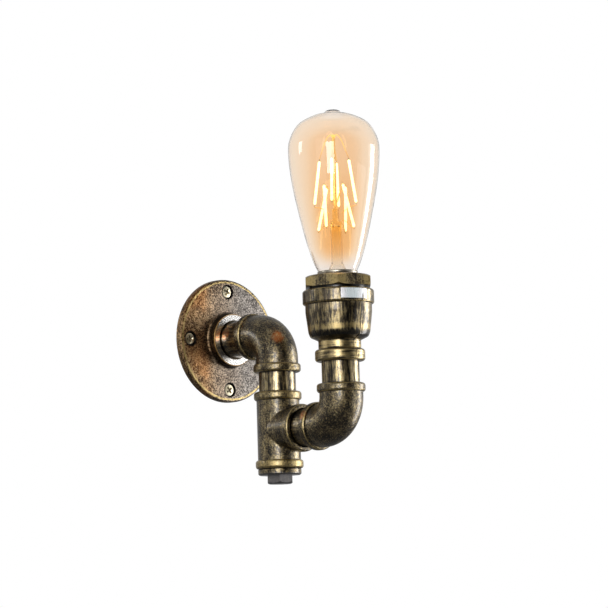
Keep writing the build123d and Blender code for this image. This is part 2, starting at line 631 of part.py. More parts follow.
def bulb_cap():
    """Thin metal screw cap that widens to a rim under the glass; the thread is only a plain wall here."""
    w = CAP_WALL
    return seated(turned(
        [(11.48, 4.3), (12.3, 4.6), (CAP_R, 6.0), (CAP_R, CAP_SKIRT_Z), (CAP_RIM_R, CAP_HIGH - 1.4),
         (CAP_RIM_R, CAP_HIGH), (CAP_RIM_R - w, CAP_HIGH), (CAP_RIM_R - w, CAP_HIGH - 1.3),
         (CAP_R - w, CAP_SKIRT_Z + 0.1), (CAP_R - w, 6.2), (12.1, 5.0), (11.48, 4.7)]
    ))


def bulb_side(inset):
    """The bulb's meridian from neck to tip, moved inwards by inset along each point's normal."""
    # radius, height, angle of the outward normal above the horizontal
    stations = [
        (13.6, 27.0, -14), (16.9, 34.6, -30), (21.4, 49.6, -14), (26.4, 70.9, -12), (30.4, 92.1, -9),
        (BULB_R, 111.0, 0), (30.9, 121.0, 17), (25.2, 131.2, 47), (15.6, 136.9, 68), (8.6, 138.9, 72),
    ]
    line = [(r - inset * cos(radians(a)), 0, z - inset * sin(radians(a))) for r, z, a in stations]
    widest = 5
    lower = Spline(*line[: widest + 1], tangents=[(0.35, 0, 1), (0, 0, 1)])
    upper = Spline(*line[widest:], tangents=[(0, 0, 1), (-1, 0, 0.3)])
    return lower + upper, line


def bulb_glass():
    """Drop-shaped glass, open at the neck, with the small sealed tip at the top."""
    t = GLASS_WALL
    outer, a = bulb_side(0)
    inner, b = bulb_side(t)
    neck_r = CAP_R - CAP_WALL - 0.45
    high = BULB_HIGH
    tip = Spline(a[-1], (6.2, 0, high - 2.2), (5.0, 0, high - 1.0), (2.8, 0, high - 0.25), (0, 0, high),
                 tangents=[(-1, 0, 0.3), (-1, 0, 0)])
    crown = Spline(b[-1], (0, 0, high - 2.8), tangents=[(-1, 0, 0.3), (-1, 0, 0)])
    neck = Polyline(a[0], (neck_r, 0, CAP_SKIRT_Z), (neck_r, 0, NECK_Z), (neck_r - t, 0, NECK_Z),
                    (neck_r - t, 0, CAP_SKIRT_Z), b[0])
    edge = outer + inner + tip + crown + neck + Line((0, 0, high), (0, 0, high - 2.8))
    return seated(revolve(make_face(edge), Axis.Z))


def bulb_stem():
    """Glass stem: flare at the neck, tube, flat press and the thin rod that carries the top spider."""
    tube = turned(
        [(10.6, NECK_Z - 0.6), (11.9, NECK_Z - 0.6), (11.9, NECK_Z - 0.05), (11.3, NECK_Z - 0.05),
         (11.3, NECK_Z + 0.5), (6.0, 29.0),
         (STEM_R, 33.0), (STEM_R, PRESS_Z + 1), (0, PRESS_Z + 1), (0, PRESS_Z - 1), (STEM_R - 0.9, PRESS_Z - 2),
         (STEM_R - 0.9, 33.0), (5.2, 29.0), (10.4, NECK_Z + 0.6)]
    )
    press = block(2 * STEM_R + 0.6, 4.0, PRESS_HIGH, PRESS_Z)
    press = fillet(press.edges().filter_by(Axis.Z), 1.4)
    return seated(tube + Rot(0, 0, FILAMENT_TURN) * press + rod(1.2, PRESS_Z + 2, SPIDER_Z - 1.0))


def filament_ends(tier):
    """Top and bottom of every filament of a tier, as points."""
    top_r, top_z, foot_r, foot_z, turn, twist = FILAMENT_TIERS[tier]
    ends = []
    for i in range(FILAMENT_COUNT):
        a = radians(turn + i * 360 / FILAMENT_COUNT)
        b = a + radians(twist)
        ends.append(((top_r * cos(a), top_r * sin(a), top_z), (foot_r * cos(b), foot_r * sin(b), foot_z)))
    return ends


def filaments():
    """Eight LED filaments: two tiers of four, each tier spreading downwards."""
    return [seated(strut(foot, top, FILAMENT_R)) for tier in (0, 1) for top, foot in filament_ends(tier)]


def shorten(p, q, gap):
    """The point that lies gap short of q on the way from p."""
    run = Vector(*q) - Vector(*p)
    return tuple(Vector(*p) + run * ((run.length - gap) / run.length))


def top_spider():
    """Hub on the stem's rod with four wires down to the tops of the upper filaments."""
    hub = rod(1.5, SPIDER_Z - 0.95, SPIDER_Z + 1.0)
    for top, _ in filament_ends(0):
        crook = (top[0] * 0.55, top[1] * 0.55, SPIDER_Z + 0.2)
        end = shorten(crook, top, SUPPORT_R + 0.3)
        hub += strut((0, 0, SPIDER_Z), crook, SUPPORT_R)
        hub += Pos(*crook) * Sphere(SUPPORT_R)
        hub += strut(crook, end, SUPPORT_R)
    return seated(hub)


def filament_wires():
    """Support wires from the stem to the feet of both tiers and the tops of the lower one."""
    wires = []
    for tier, at_top, z in ((0, False, PRESS_Z + 7.0), (1, True, PRESS_Z + 14.0), (1, False, PRESS_Z - 3.0)):
        for top, foot in filament_ends(tier):
            end = top if at_top else foot
            reach = sqrt(end[0] ** 2 + end[1] ** 2)
            start_r = 1.8 if at_top else STEM_R + 1.1
            start = (end[0] / reach * start_r, end[1] / reach * start_r, z)
            wires.append(seated(strut(start, shorten(start, end, FILAMENT_R + 1.0), SUPPORT_R)))
    return wires


def driver_board():
    """Small circuit board inside the bulb's cap."""
    return seated(block(15.0, 1.2, 13.0, 6.2))


def driver_parts():
    """Capacitor and rectifier on the board."""
    capacitor = Pos(-3.2, -3.3, 0) * rod(2.6, 8.0, 17.0)
    rectifier = Pos(3.4, -1.45, 0) * block(4.6, 1.6, 3.8, 10.0)
    return [seated(capacitor), seated(rectifier)]


# ---------------------------------------------------------------- the pieces, one file each
NODES = {
    "wall_flange": wall_flange,
    "wall_screws": wall_screws,
    "flange_nipple": flange_nipple,
    "upper_elbow": upper_elbow,
    "drop_nipple": drop_nipple,
    "tee": tee,
    "end_plug": end_plug,
    "branch_nipple": branch_nipple,
    "lower_elbow": lower_elbow,
    "riser_nipple": riser_nipple,
    "bell_reducer": bell_reducer,
    "hex_bushing": hex_bushing,
    "holder_body": holder_body,
    "holder_base": holder_base,
    "holder_screws": holder_screws,
    "screw_shell": screw_shell,
    "centre_contact": centre_contact,
    "live_terminal": lambda: terminal(1),
    "neutral_terminal": lambda: terminal(-1),
    "terminal_screws": terminal_screws,
    "contact_rivets": rivets,
    "earth_tag": earth_tag,
    "earth_screw": earth_screw,
    "live_wire": lambda: power_wire(1),
    "neutral_wire": lambda: power_wire(-1),
    "earth_wire": earth_wire,
    "terminal_block": terminal_block,
    "terminal_barrels": terminal_barrels,
    "terminal_block_screws": terminal_block_screws,
    "bulb_glass": bulb_glass,
    "bulb_cap": bulb_cap,
    "cap_insulator": cap_insulator,
    "cap_contact": cap_contact,
    "bulb_stem": bulb_stem,
    "filaments": filaments,
    "top_spider": top_spider,
    "filament_wires": filament_wires,
    "driver_board": driver_board,
    "driver_parts": driver_parts,
}


def main():
    os.makedirs("parts", exist_ok=True)
    for name, make in NODES.items():
        shape = make()
        if isinstance(shape, list):
            shape = Compound(shape)
        export_step(shape, f"parts/{name}.step")


if __name__ == "__main__":
    main()
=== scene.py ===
import math

import bmesh
import bpy
import numpy as np
from mathutils import Matrix, Vector

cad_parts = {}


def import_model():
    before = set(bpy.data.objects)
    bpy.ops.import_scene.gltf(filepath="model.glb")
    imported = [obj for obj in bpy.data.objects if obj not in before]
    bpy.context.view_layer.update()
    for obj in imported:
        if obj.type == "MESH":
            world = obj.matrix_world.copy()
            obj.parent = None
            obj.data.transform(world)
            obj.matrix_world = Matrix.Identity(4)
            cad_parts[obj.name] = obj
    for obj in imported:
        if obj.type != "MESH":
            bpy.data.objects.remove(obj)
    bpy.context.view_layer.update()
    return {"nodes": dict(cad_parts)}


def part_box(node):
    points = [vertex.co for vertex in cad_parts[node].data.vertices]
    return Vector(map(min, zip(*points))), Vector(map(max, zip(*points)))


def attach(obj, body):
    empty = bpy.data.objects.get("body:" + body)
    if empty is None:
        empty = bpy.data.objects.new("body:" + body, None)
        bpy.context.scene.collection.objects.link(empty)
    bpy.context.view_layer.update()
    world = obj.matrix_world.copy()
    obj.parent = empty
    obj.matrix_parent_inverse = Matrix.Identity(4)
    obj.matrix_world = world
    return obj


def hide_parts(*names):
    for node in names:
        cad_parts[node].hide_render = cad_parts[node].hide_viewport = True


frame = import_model()

# Pipe wall light.  Metres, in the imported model's frame: wall at Y = 0, room towards -Y, up is +Z.
MM = 0.001


# ---------------------------------------------------------------- places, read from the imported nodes
def middle(node):
    """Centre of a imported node's box."""
    low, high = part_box(node)
    return (low + high) / 2


def high_of(node):
    """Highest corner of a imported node's box."""
    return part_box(node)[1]


def low_of(node):
    """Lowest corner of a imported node's box."""
    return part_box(node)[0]


RISER_Y = middle("riser_nipple").y
DROP_Y = middle("drop_nipple").y
BRANCH_Z = middle("branch_nipple").z
BELL_Z = low_of("bell_reducer").z
BELL_TOP_Z = high_of("bell_reducer").z
BELL_RIM_R = high_of("bell_reducer").x
BEAD_R = high_of("lower_elbow").x
PIPE_R = high_of("riser_nipple").x
FLANGE_R = high_of("wall_flange").x
HUB_Y = low_of("wall_flange").y
BUSH_R = max(high_of("hex_bushing").x, (high_of("hex_bushing").y - low_of("hex_bushing").y) / 2)
ELBOW_BEND_R = 19 * MM
HOLE_CIRCLE_R = 36 * MM          # the wall screws' circle
SCREW_COUNT = 4

CAP_LOW_Z = low_of("cap_contact").z
BULB_TIP_Z = high_of("bulb_glass").z
GLASS_WALL = 0.9 * MM
GLASS_FOOT_Z = low_of("bulb_glass").z

LAMP_PITCH = 3.629 * MM          # the 27 mm lamp thread
LAMP_THREAD_DEEP = 0.95 * MM
THREAD_FADE = 1.5 * MM
THREAD_SIDES = 96
CAP_R = 13.1 * MM
CAP_WALL = 0.35 * MM
CAP_RIM_R = high_of("bulb_cap").x
CAP_RIM_Z = high_of("bulb_cap").z
SHELL_R = high_of("screw_shell").x


# ---------------------------------------------------------------- meshes from grids
def put_in_scene(name, data):
    """An object at the origin for a mesh, a light or a camera."""
    item = bpy.data.objects.new(name, data)
    bpy.context.scene.collection.objects.link(item)
    return item


def put_mesh(name, parts, body, finish, replaces=(), closed=True, sharp_deg=40.0):
    """One object from (points, faces) parts: (n, 3) metres and (m, 4) corners.  Doubles are merged."""
    points, faces, base = [], [], 0
    for part_points, part_faces in parts:
        points.append(part_points)
        faces.append(part_faces + base)
        base += len(part_points)
    points, faces = np.concatenate(points), np.concatenate(faces)
    mesh = bpy.data.meshes.new(name)
    mesh.vertices.add(len(points))
    mesh.vertices.foreach_set("co", points.astype(np.float32).ravel())
    mesh.loops.add(faces.size)
    mesh.loops.foreach_set("vertex_index", faces.astype(np.int32).ravel())
    mesh.polygons.add(len(faces))
    mesh.polygons.foreach_set("loop_start", np.arange(0, faces.size, 4, dtype=np.int32))
    mesh.update(calc_edges=True)
    work = bmesh.new()
    work.from_mesh(mesh)
    bmesh.ops.remove_doubles(work, verts=work.verts, dist=1e-7)
    bmesh.ops.dissolve_degenerate(work, edges=work.edges, dist=1e-8)
    if closed:
        bmesh.ops.recalc_face_normals(work, faces=work.faces)
    work.to_mesh(mesh)
    work.free()
    mesh.shade_smooth()
    mesh.set_sharp_from_angle(angle=math.radians(sharp_deg))
    mesh.materials.append(finish)
    piece = put_in_scene(name, mesh)
    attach(piece, body)
    if replaces:
        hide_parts(*replaces)
    return piece


def grid_part(points, wrap_u=False, wrap_v=False):
    """(points, faces) of an (n, m, 3) grid; a wrapped direction joins its last row to its first."""
    n, m = points.shape[:2]
    rows = np.arange(n if wrap_u else n - 1)
    cols = np.arange(m if wrap_v else m - 1)
    u, v = np.meshgrid(rows, cols, indexing="ij")
    u2, v2 = (u + 1) % n, (v + 1) % m
    corners = np.stack([u * m + v, u2 * m + v, u2 * m + v2, u * m + v2], axis=-1)
    return points.reshape(-1, 3), corners.reshape(-1, 4)


def smooth_line(knots, steps):
    """Points on a Catmull-Rom curve: on each span a cubic whose end slopes are half of the chord past it."""
    k = np.asarray(knots, float)
    k = np.vstack([2 * k[0] - k[1], k, 2 * k[-1] - k[-2]])
    t = np.linspace(0, len(k) - 3, steps)
    i = np.minimum(t.astype(int), len(k) - 4)
    f = (t - i)[:, None]
    a, b, c, d = k[i], k[i + 1], k[i + 2], k[i + 3]
    return 0.5 * (2 * b + (c - a) * f + (2 * a - 5 * b + 4 * c - d) * f**2
                  + (3 * b - a - 3 * c + d) * f**3)


def around(profile, sides, axis_xy, swell=None):
    """Grid of a turned form: each (radius, height) of the profile goes once round a vertical axis.
    swell, if given, adds swell(angle, radius, height) to the radius."""
    profile = np.asarray(profile, float)
    angle = np.linspace(0, 2 * math.pi, sides, endpoint=False)[None, :]
    r = np.repeat(profile[:, :1], sides, 1)
    z = np.repeat(profile[:, 1:], sides, 1)
    if swell is not None:
        r = r + swell(angle, r, z)
    return np.stack([axis_xy[0] + r * np.cos(angle), axis_xy[1] + r * np.sin(angle), z], axis=-1)


def tube(path, radius, sides=12, side_hint=(0.31, 0.17, 0.93), flat=1.0):
    """Grid of a round rod along a path, closed at both ends: a circle across each point's tangent.
    flat squeezes the circle along its second direction."""
    path = np.asarray(path, float)
    tangent = np.gradient(path, axis=0)
    tangent /= np.linalg.norm(tangent, axis=1)[:, None]
    first = np.cross(tangent, np.asarray(side_hint, float))
    first /= np.linalg.norm(first, axis=1)[:, None]
    second = np.cross(tangent, first)
    radius = np.broadcast_to(np.asarray(radius, float), (len(path),))
    path = np.vstack([path[:1], path, path[-1:]])
    first, second = (np.vstack([w[:1], w, w[-1:]]) for w in (first, second))
    radius = np.concatenate([[0], radius, [0]])
    angle = np.linspace(0, 2 * math.pi, sides, endpoint=False)
    ring = first[:, None] * np.cos(angle)[None, :, None]
    ring = ring + flat * second[:, None] * np.sin(angle)[None, :, None]
    return path[:, None] + ring * radius[:, None, None]


def screw_turns():
    """Angles of the wall screws round the flange, from the right and upwards."""
    return [2 * math.pi / SCREW_COUNT * step for step in range(SCREW_COUNT)]


# ---------------------------------------------------------------- finishes
class Finish:
    """A material being built: add() puts in a shader node, wires or sets its inputs and returns it."""

    def __init__(self, name):
        self.material = bpy.data.materials.new(name)
        self.material.use_nodes = True
        self.tree = self.material.node_tree
        self.tree.nodes.clear()
        self.place = self.add("TexCoord").outputs["Object"]

    def add(self, kind, inputs=None, **settings):
        node = self.tree.nodes.new("ShaderNode" + kind)
        for key, value in settings.items():
            setattr(node, key, value)
        for key, value in (inputs or {}).items():
            if isinstance(value, bpy.types.NodeSocket):
                self.tree.links.new(value, node.inputs[key])
            else:
                node.inputs[key].default_value = value
        return node

    def mapped(self, scale):
        """Object coordinates scaled, so that a stretched noise makes streaks."""
        return self.add("Mapping", {"Vector": self.place, "Scale": scale}).outputs[0]

    def noise(self, vector, scale, detail=4.0, rough=0.55, distortion=0.0):
        return self.add("TexNoise", {"Vector": vector, "Scale": scale, "Detail": detail, "Roughness": rough,
                                     "Distortion": distortion}).outputs["Fac"]

    def math(self, operation, a, b=0.0, c=0.0):
        return self.add("Math", {0: a, 1: b, 2: c}, operation=operation).outputs[0]

    def step(self, value, low, high, to_low=0.0, to_high=1.0):
        """Smooth ramp from to_low to to_high as value goes from low to high."""
        return self.add("MapRange", {"Value": value, "From Min": low, "From Max": high, "To Min": to_low,
                                     "To Max": to_high}, interpolation_type="SMOOTHSTEP").outputs[0]

    def mix(self, fac, a, b):
        """Colour a where fac is 0, b where it is 1."""
        node = self.add("Mix", data_type="RGBA")
        for index, value in ((0, fac), (6, a), (7, b)):
            if isinstance(value, bpy.types.NodeSocket):
                self.tree.links.new(value, node.inputs[index])
            else:
                node.inputs[index].default_value = value if index == 0 else (*value[:3], 1.0)
        return node.outputs[2]

    def bump(self, height, distance, strength=1.0, normal=None):
        inputs = {"Height": height, "Distance": distance, "Strength": strength}
        if normal is not None:
            inputs["Normal"] = normal
        return self.add("Bump", inputs).outputs[0]

    def open_share(self, reach):
        """How much of a place's sky is open within reach: low in corners and holes."""
        return self.add("AmbientOcclusion", {"Distance": reach}, samples=8).outputs["AO"]

    def principled(self, **inputs):
        """The surface shader, wired to the output."""
        named = {key.replace("_", " "): value for key, value in inputs.items()}
        shader = self.add("BsdfPrincipled", named)
        self.add("OutputMaterial", {"Surface": shader.outputs[0]})
        return self.material

    def coordinate(self, axis):
        """Object coordinate along an axis: 0 to the right, 1 into the wall, 2 up."""
        return self.add("SeparateXYZ", {0: self.place}).outputs[axis]

    def distance_from(self, centre, across):
        """Distance from an axis through centre; across is 1 on the two directions that count."""
        off = self.add("VectorMath", {0: self.place, 1: centre}, operation="SUBTRACT").outputs[0]
        off = self.add("VectorMath", {0: off, 1: across}, operation="MULTIPLY").outputs[0]
        return self.add("VectorMath", {0: off}, operation="LENGTH").outputs["Value"]


ACROSS_Z = (1.0, 1.0, 0.0)
ACROSS_Y = (1.0, 0.0, 1.0)
LACQUER = (0.020, 0.017, 0.013)
UMBER = (0.055, 0.040, 0.025)
GOLD = (0.32, 0.235, 0.098)
PALE_GOLD = (0.42, 0.355, 0.22)
EDGE_GOLD = (0.42, 0.315, 0.13)
COPPER = (0.32, 0.105, 0.025)
# dark colour of painted shade: in the fittings' hollows, on the bell's shoulder and round the screw heads
PAINTED_SHADE = (0.006, 0.005, 0.004)
GREY_LACQUER = (0.165, 0.160, 0.165)
HOLLOW_DARK = (0.06, 0.04, 0.02)


# sizes of the patterns in the antique finish, in repeats a metre
CAST_FINE = 900.0
CAST_SPECKLE = 1500.0
CAST_PATCHES = 170.0
LACQUER_CLOUDS = 210.0
PATCH_SHARE = 0.24               # of the gold's pattern; the rest is strokes and speckle
EDGE_RUB = 0.095                 # how much more gold comes through on a rubbed edge
HOLLOW_REACH = 3.5 * MM          # painted shade darkens hollows narrower than this


def antique(name, strokes, cover=0.53, brushed=0.7, edges=None, rough=0.30, copper=(), contrast=0.085,
            shade_mask=None, smooth=None):
    """Dark lacquer over bronze with gold rubbed through, and painted shade in its hollows.  strokes is a
    coordinate stretched along the brushing; brushed shares the pattern between those strokes and a casting's
    speckle; a higher cover leaves less gold, and contrast is how gradually it comes; edges is a 0 to 1 mask of
    rubbed edges, and the last two arguments are masks of painted shade and of even grey lacquer; copper is a
    list of (place, radius) where the red metal shows."""
    f = Finish(name)
    lines = f.noise(strokes(f), 1.0, 4.0, 0.65)
    cast = f.noise(f.place, CAST_FINE, 4.0, 0.70)
    patch = f.noise(f.place, CAST_PATCHES, 3.0, 0.55)
    speckle = f.noise(f.place, CAST_SPECKLE, 2.0, 0.6)
    fine = f.math("MULTIPLY_ADD", lines, brushed, f.math("MULTIPLY", cast, 1.0 - brushed))
    amount = f.math("MULTIPLY_ADD", patch, PATCH_SHARE, f.math("MULTIPLY", fine, 1.0 - PATCH_SHARE))
    metal = f.mix(f.step(speckle, 0.40, 0.70), GOLD, PALE_GOLD)
    if edges is not None:
        rubbed = edges(f)
        amount = f.math("MULTIPLY_ADD", rubbed, EDGE_RUB, amount)
        metal = f.mix(rubbed, metal, EDGE_GOLD)
    gold = f.step(amount, cover - contrast, cover + contrast)
    clouds = f.noise(f.place, LACQUER_CLOUDS, 4.0, 0.6)
    under = f.mix(f.step(clouds, 0.40, 0.68), LACQUER, UMBER)
    for place, radius in copper:
        off = f.add("VectorMath", {0: f.place, 1: place}, operation="DISTANCE").outputs["Value"]
        ragged = f.math("MULTIPLY_ADD", cast, 0.7 * radius, off)
        under = f.mix(f.step(ragged, 1.25 * radius, 0.75 * radius), under, COPPER)
    colour = f.mix(gold, under, metal)
    # painted shade: darker where the surface is closed in, and where a shade mask is given
    dark = f.step(f.open_share(HOLLOW_REACH), 0.80, 0.35)
    if shade_mask is not None:
        dark = f.math("MAXIMUM", dark, shade_mask(f))
    colour = f.mix(dark, colour, PAINTED_SHADE)
    if smooth is not None:
        colour = f.mix(f.math("MULTIPLY", smooth(f), 0.88), colour, GREY_LACQUER)
    normal = f.bump(lines, 0.00005 * brushed)
    if brushed < 0.9:
        normal = f.bump(cast, 0.00030 * (1.0 - brushed), 1.0, normal)
    return f.principled(Base_Color=colour, Metallic=1.0, Normal=normal, Coat_Weight=0.5, Coat_Roughness=0.22,
                        Roughness=f.step(amount, 0.35, 0.65, rough - 0.04, rough + 0.08))


def upright(f):
    """Strokes along Z."""
    return f.mapped((820, 820, 62))


def level(f):
    """Strokes along Y, for the pipes that come out of the wall."""
    return f.mapped((820, 62, 820))


def ringed(f):
    """Turned rings round a vertical axis."""
    return f.mapped((50, 50, 950))


BEND_ACROSS = 800.0              # strokes a metre across an elbow
BEND_ALONG = 4.5                 # strokes a radian round it


def round_bend(y, z):
    """Strokes that follow an elbow: the pattern runs along the angle about the bend's centre."""
    def strokes(f):
        off = f.add("VectorMath", {0: f.place, 1: (0, y, z)}, operation="SUBTRACT").outputs[0]
        parts = f.add("SeparateXYZ", {0: off}).outputs
        angle = f.math("ARCTAN2", parts[2], f.math("MULTIPLY", parts[1], -1.0))
        flat = f.add("CombineXYZ", {0: 0.0, 1: parts[1], 2: parts[2]}).outputs[0]
        radius = f.add("VectorMath", {0: flat}, operation="LENGTH").outputs["Value"]
        stretched = {0: f.math("MULTIPLY", parts[0], BEND_ACROSS), 1: f.math("MULTIPLY", radius, BEND_ACROSS),
                     2: f.math("MULTIPLY", angle, BEND_ALONG)}
        return f.add("CombineXYZ", stretched).outputs[0]
    return strokes


def ridge_line(f, value, middle, half):
    """1 where value is near middle, falling to 0 at half away from it on both sides."""
    return f.step(f.math("ABSOLUTE", f.math("SUBTRACT", value, middle)), half, 0.25 * half)


BEAD_EDGE_IN = 0.45 * MM         # the rubbed line on a bead, below its full radius
BEAD_EDGE_HALF = 0.42 * MM


def beads(*ends):
    """Mask of the two rounded edges of beads: each is the (centre, across) axis it goes round, the
    coordinate that runs along it, where along it the fitting ends, and how much it is rubbed all over."""
    def edges(f):
        where = f.add("SeparateXYZ", {0: f.place}).outputs
        both = None
        for axis, along, end, rubbed in ends:
            radius = f.distance_from(*axis)
            near = f.step(f.math("ABSOLUTE", f.math("SUBTRACT", where[along], end)), 7.6 * MM, 6.8 * MM)
            whole = f.math("MULTIPLY", rubbed, f.step(radius, BEAD_R - 1.5 * MM, BEAD_R - 0.8 * MM))
            line = ridge_line(f, radius, BEAD_R - BEAD_EDGE_IN, BEAD_EDGE_HALF)
            line = f.math("MULTIPLY", f.math("MAXIMUM", line, whole), near)
            both = line if both is None else f.math("MAXIMUM", both, line)
        return both
    return edges


def plain_metal(name, colour, rough=0.3, scratch=0.08, hollows=0.0):
    """Bare metal with faint turned scratches, darker in its hollows if they are given a size."""
    f = Finish(name)
    lines = f.noise(f.mapped((300, 300, 2200)), 1.0, 3.0)
    tone = f.noise(f.place, 300.0, 3.0)
    shade = tuple(0.78 * c for c in colour)
    colour = f.mix(f.step(tone, 0.3, 0.75), shade, colour)
    # darker where the surface is closed in
    if hollows:
        colour = f.mix(f.step(f.open_share(hollows), 0.85, 0.55), colour, HOLLOW_DARK)
    return f.principled(Base_Color=colour, Metallic=1.0,
                        Roughness=f.step(lines, 0.25, 0.75, rough - scratch, rough + scratch),
                        Normal=f.bump(lines, 0.00001))


def plain_plastic(name, colour, rough=0.42):
    """Moulded plastic or rubber with a fine orange-peel skin."""
    f = Finish(name)
    skin = f.noise(f.place, 1800.0, 2.0)
    tone = f.noise(f.place, 120.0, 2.0)
    shade = tuple(0.86 * c for c in colour)
    return f.principled(Base_Color=f.mix(f.step(tone, 0.3, 0.7), shade, colour),
                        Roughness=f.step(skin, 0.3, 0.7, rough - 0.05, rough + 0.07),
                        Normal=f.bump(skin, 0.00002))


def amber_glass():
    """The bulb's coated glass: deep amber seen square on, paler towards its outline and down at the neck."""
    f = Finish("amber_bulb_glass")
    facing = f.add("LayerWeight", {"Blend": 0.5}).outputs["Facing"]
    height = f.coordinate(2)
    low = f.step(height, CAP_LOW_Z + 112 * MM, CAP_LOW_Z + 58 * MM)
    deep = f.mix(low, (0.955, 0.765, 0.580), (0.945, 0.675, 0.405))
    tint = f.mix(f.step(facing, 0.26, 0.06), (0.965, 0.865, 0.755), deep)
    clear = f.math("MAXIMUM", f.step(height, CAP_LOW_Z + 44 * MM, CAP_LOW_Z + 27 * MM),
                   f.step(height, BULB_TIP_Z - 4.5 * MM, BULB_TIP_Z - 2.5 * MM))
    tint = f.mix(clear, tint, (0.945, 0.905, 0.870))
    wave = f.noise(f.place, 45.0, 2.0)
    return f.principled(Base_Color=tint, Roughness=0.0, IOR=1.40, Transmission_Weight=1.0,
                        Normal=f.bump(wave, 0.0003, 0.4))


def stem_glass():
    """The stem's clear tube: darker towards its sides, and yellow from the filaments' light at the press."""
    f = Finish("stem_glass")
    facing = f.add("LayerWeight", {"Blend": 0.5}).outputs["Facing"]
    height = f.coordinate(2)
    near_light = f.step(height, CAP_LOW_Z + 40 * MM, CAP_LOW_Z + 62 * MM)
    tint = f.mix(near_light, (0.97, 0.95, 0.91), (0.98, 0.84, 0.46))
    tint = f.mix(f.step(facing, 0.45, 0.85), tint, (0.42, 0.29, 0.17))
    return f.principled(Base_Color=tint, Roughness=0.02, IOR=1.5, Transmission_Weight=1.0)


HUB_FACE_R = 18.5 * MM           # the machined ring on the hub's front
HUB_FACE_ROUGH = 0.20
HOLE_SHADE_R = 5.5 * MM           # painted shade round the screw heads


def flange_finish():
    """The flange: pitted casting, red-brown to the left and greyer to the right, the grey a painted reflection
    of the light on that side; gold on the rim's edge, painted shade on the hub's side and in the screw holes,
    and a machined hub face with a dark ring where the pipe goes in."""
    f = Finish("flange_bronze")
    pits = f.noise(f.place, 820.0, 4.0, 0.7)
    lumps = f.noise(f.place, 260.0, 4.0, 0.6)
    broad = f.noise(f.place, 34.0, 3.0, 0.5)
    radius = f.distance_from((0, 0, 0), ACROSS_Y)
    where = f.add("SeparateXYZ", {0: f.place}).outputs
    across = f.math("MULTIPLY_ADD", broad, 0.030, where[0])
    # painted reflection: the flange's right side greyer, as the sheen of the light on that side
    right = f.step(across, -22 * MM, 34 * MM)
    rim = ridge_line(f, radius, FLANGE_R - 2.0 * MM, 1.1 * MM)
    amount = f.math("MULTIPLY_ADD", pits, 0.75, f.math("MULTIPLY", lumps, 0.25))
    amount = f.math("MULTIPLY_ADD", rim, 0.08, amount)
    light = f.step(amount, 0.43, 0.60)
    under = f.mix(right, (0.036, 0.020, 0.011), (0.040, 0.035, 0.032))
    burnt = f.math("MULTIPLY", f.step(where[0], -14 * MM, -24 * MM), f.step(broad, 0.38, 0.58))
    under = f.mix(f.math("MULTIPLY", burnt, 0.8), under, (0.10, 0.036, 0.012))
    metal = f.mix(right, (0.37, 0.245, 0.125), (0.25, 0.225, 0.20))
    metal = f.mix(f.math("MULTIPLY", burnt, 0.75), metal, (0.40, 0.20, 0.070))
    metal = f.mix(rim, metal, EDGE_GOLD)
    colour = f.mix(light, under, metal)
    hub_face = f.math("MULTIPLY", f.step(where[1], HUB_Y + 0.25 * MM, HUB_Y + 0.05 * MM),
                      f.step(radius, HUB_FACE_R + 0.2 * MM, HUB_FACE_R - 0.2 * MM))
    cast = f.math("SUBTRACT", 1.0, hub_face)
    # painted shade: the hub's outer side darkened
    hub_side_shade = f.math("MULTIPLY", f.step(where[1], -6.4 * MM, -7.4 * MM), cast)
    colour = f.mix(f.math("MULTIPLY", hub_side_shade, 0.7), colour, (0.016, 0.012, 0.008))
    edge = f.math("MULTIPLY", f.step(radius, HUB_FACE_R - 0.6 * MM, HUB_FACE_R),
                  f.step(where[1], HUB_Y + 1.2 * MM, HUB_Y))
    colour = f.mix(edge, colour, (0.42, 0.25, 0.09))
    thread = f.step(radius, PIPE_R + 1.5 * MM, PIPE_R + 0.9 * MM)
    bare = f.mix(thread, (0.90, 0.88, 0.85), (0.05, 0.035, 0.02))
    colour = f.mix(hub_face, colour, bare)
    # painted shade in the screw holes, round each head
    hole = None
    for hole_turn in screw_turns():
        place = (HOLE_CIRCLE_R * math.cos(hole_turn), 0, HOLE_CIRCLE_R * math.sin(hole_turn))
        gap = f.distance_from(place, ACROSS_Y)
        hole = gap if hole is None else f.math("MINIMUM", hole, gap)
    colour = f.mix(f.step(hole, HOLE_SHADE_R + 0.2 * MM, HOLE_SHADE_R - 0.2 * MM), colour, PAINTED_SHADE)
    rough = f.math("MULTIPLY", hub_face, HUB_FACE_ROUGH)
    rough = f.math("MULTIPLY_ADD", f.step(pits, 0.3, 0.7, 0.34, 0.48), cast, rough)
    normal = f.bump(f.math("MULTIPLY", pits, cast), 0.00028)
    normal = f.bump(f.math("MULTIPLY", lumps, cast), 0.0005, 1.0, normal)
    return f.principled(Base_Color=colour, Metallic=1.0, Roughness=rough, Normal=normal)


def porcelain():
    """White glazed ceramic with faint mottling."""
    f = Finish("white_porcelain")
    tone = f.noise(f.place, 160.0, 3.0)
    return f.principled(Base_Color=f.mix(f.step(tone, 0.3, 0.7), (0.80, 0.78, 0.73), (0.90, 0.89, 0.86)),
                        Roughness=0.18, Coat_Weight=0.5, Coat_Roughness=0.08)


def lit_filament():
    """Yellow coated strip that glows, a little brighter where the chips sit."""
    f = Finish("lit_filament")
    chips = f.noise(f.mapped((200, 200, 700)), 1.0, 1.0)
    return f.principled(Base_Color=(1.0, 0.80, 0.38, 1.0), Roughness=0.5, Emission_Color=(1.0, 0.88, 0.60, 1.0),
                        Emission_Strength=f.step(chips, 0.2, 0.8, 2.4, 3.3))


def warm_wire():
    """Support wire in the full light of the filaments, which makes it shine yellow most at its ends."""
    f = Finish("warm_wire")
    height = f.coordinate(2)
    top = f.step(height, CAP_LOW_Z + 106 * MM, CAP_LOW_Z + 118 * MM)
    return f.principled(Base_Color=(0.72, 0.52, 0.24, 1.0), Metallic=1.0, Roughness=0.35,
                        Emission_Color=(1.0, 0.72, 0.20, 1.0),
                        Emission_Strength=f.step(top, 0.0, 1.0, 0.25, 0.95))


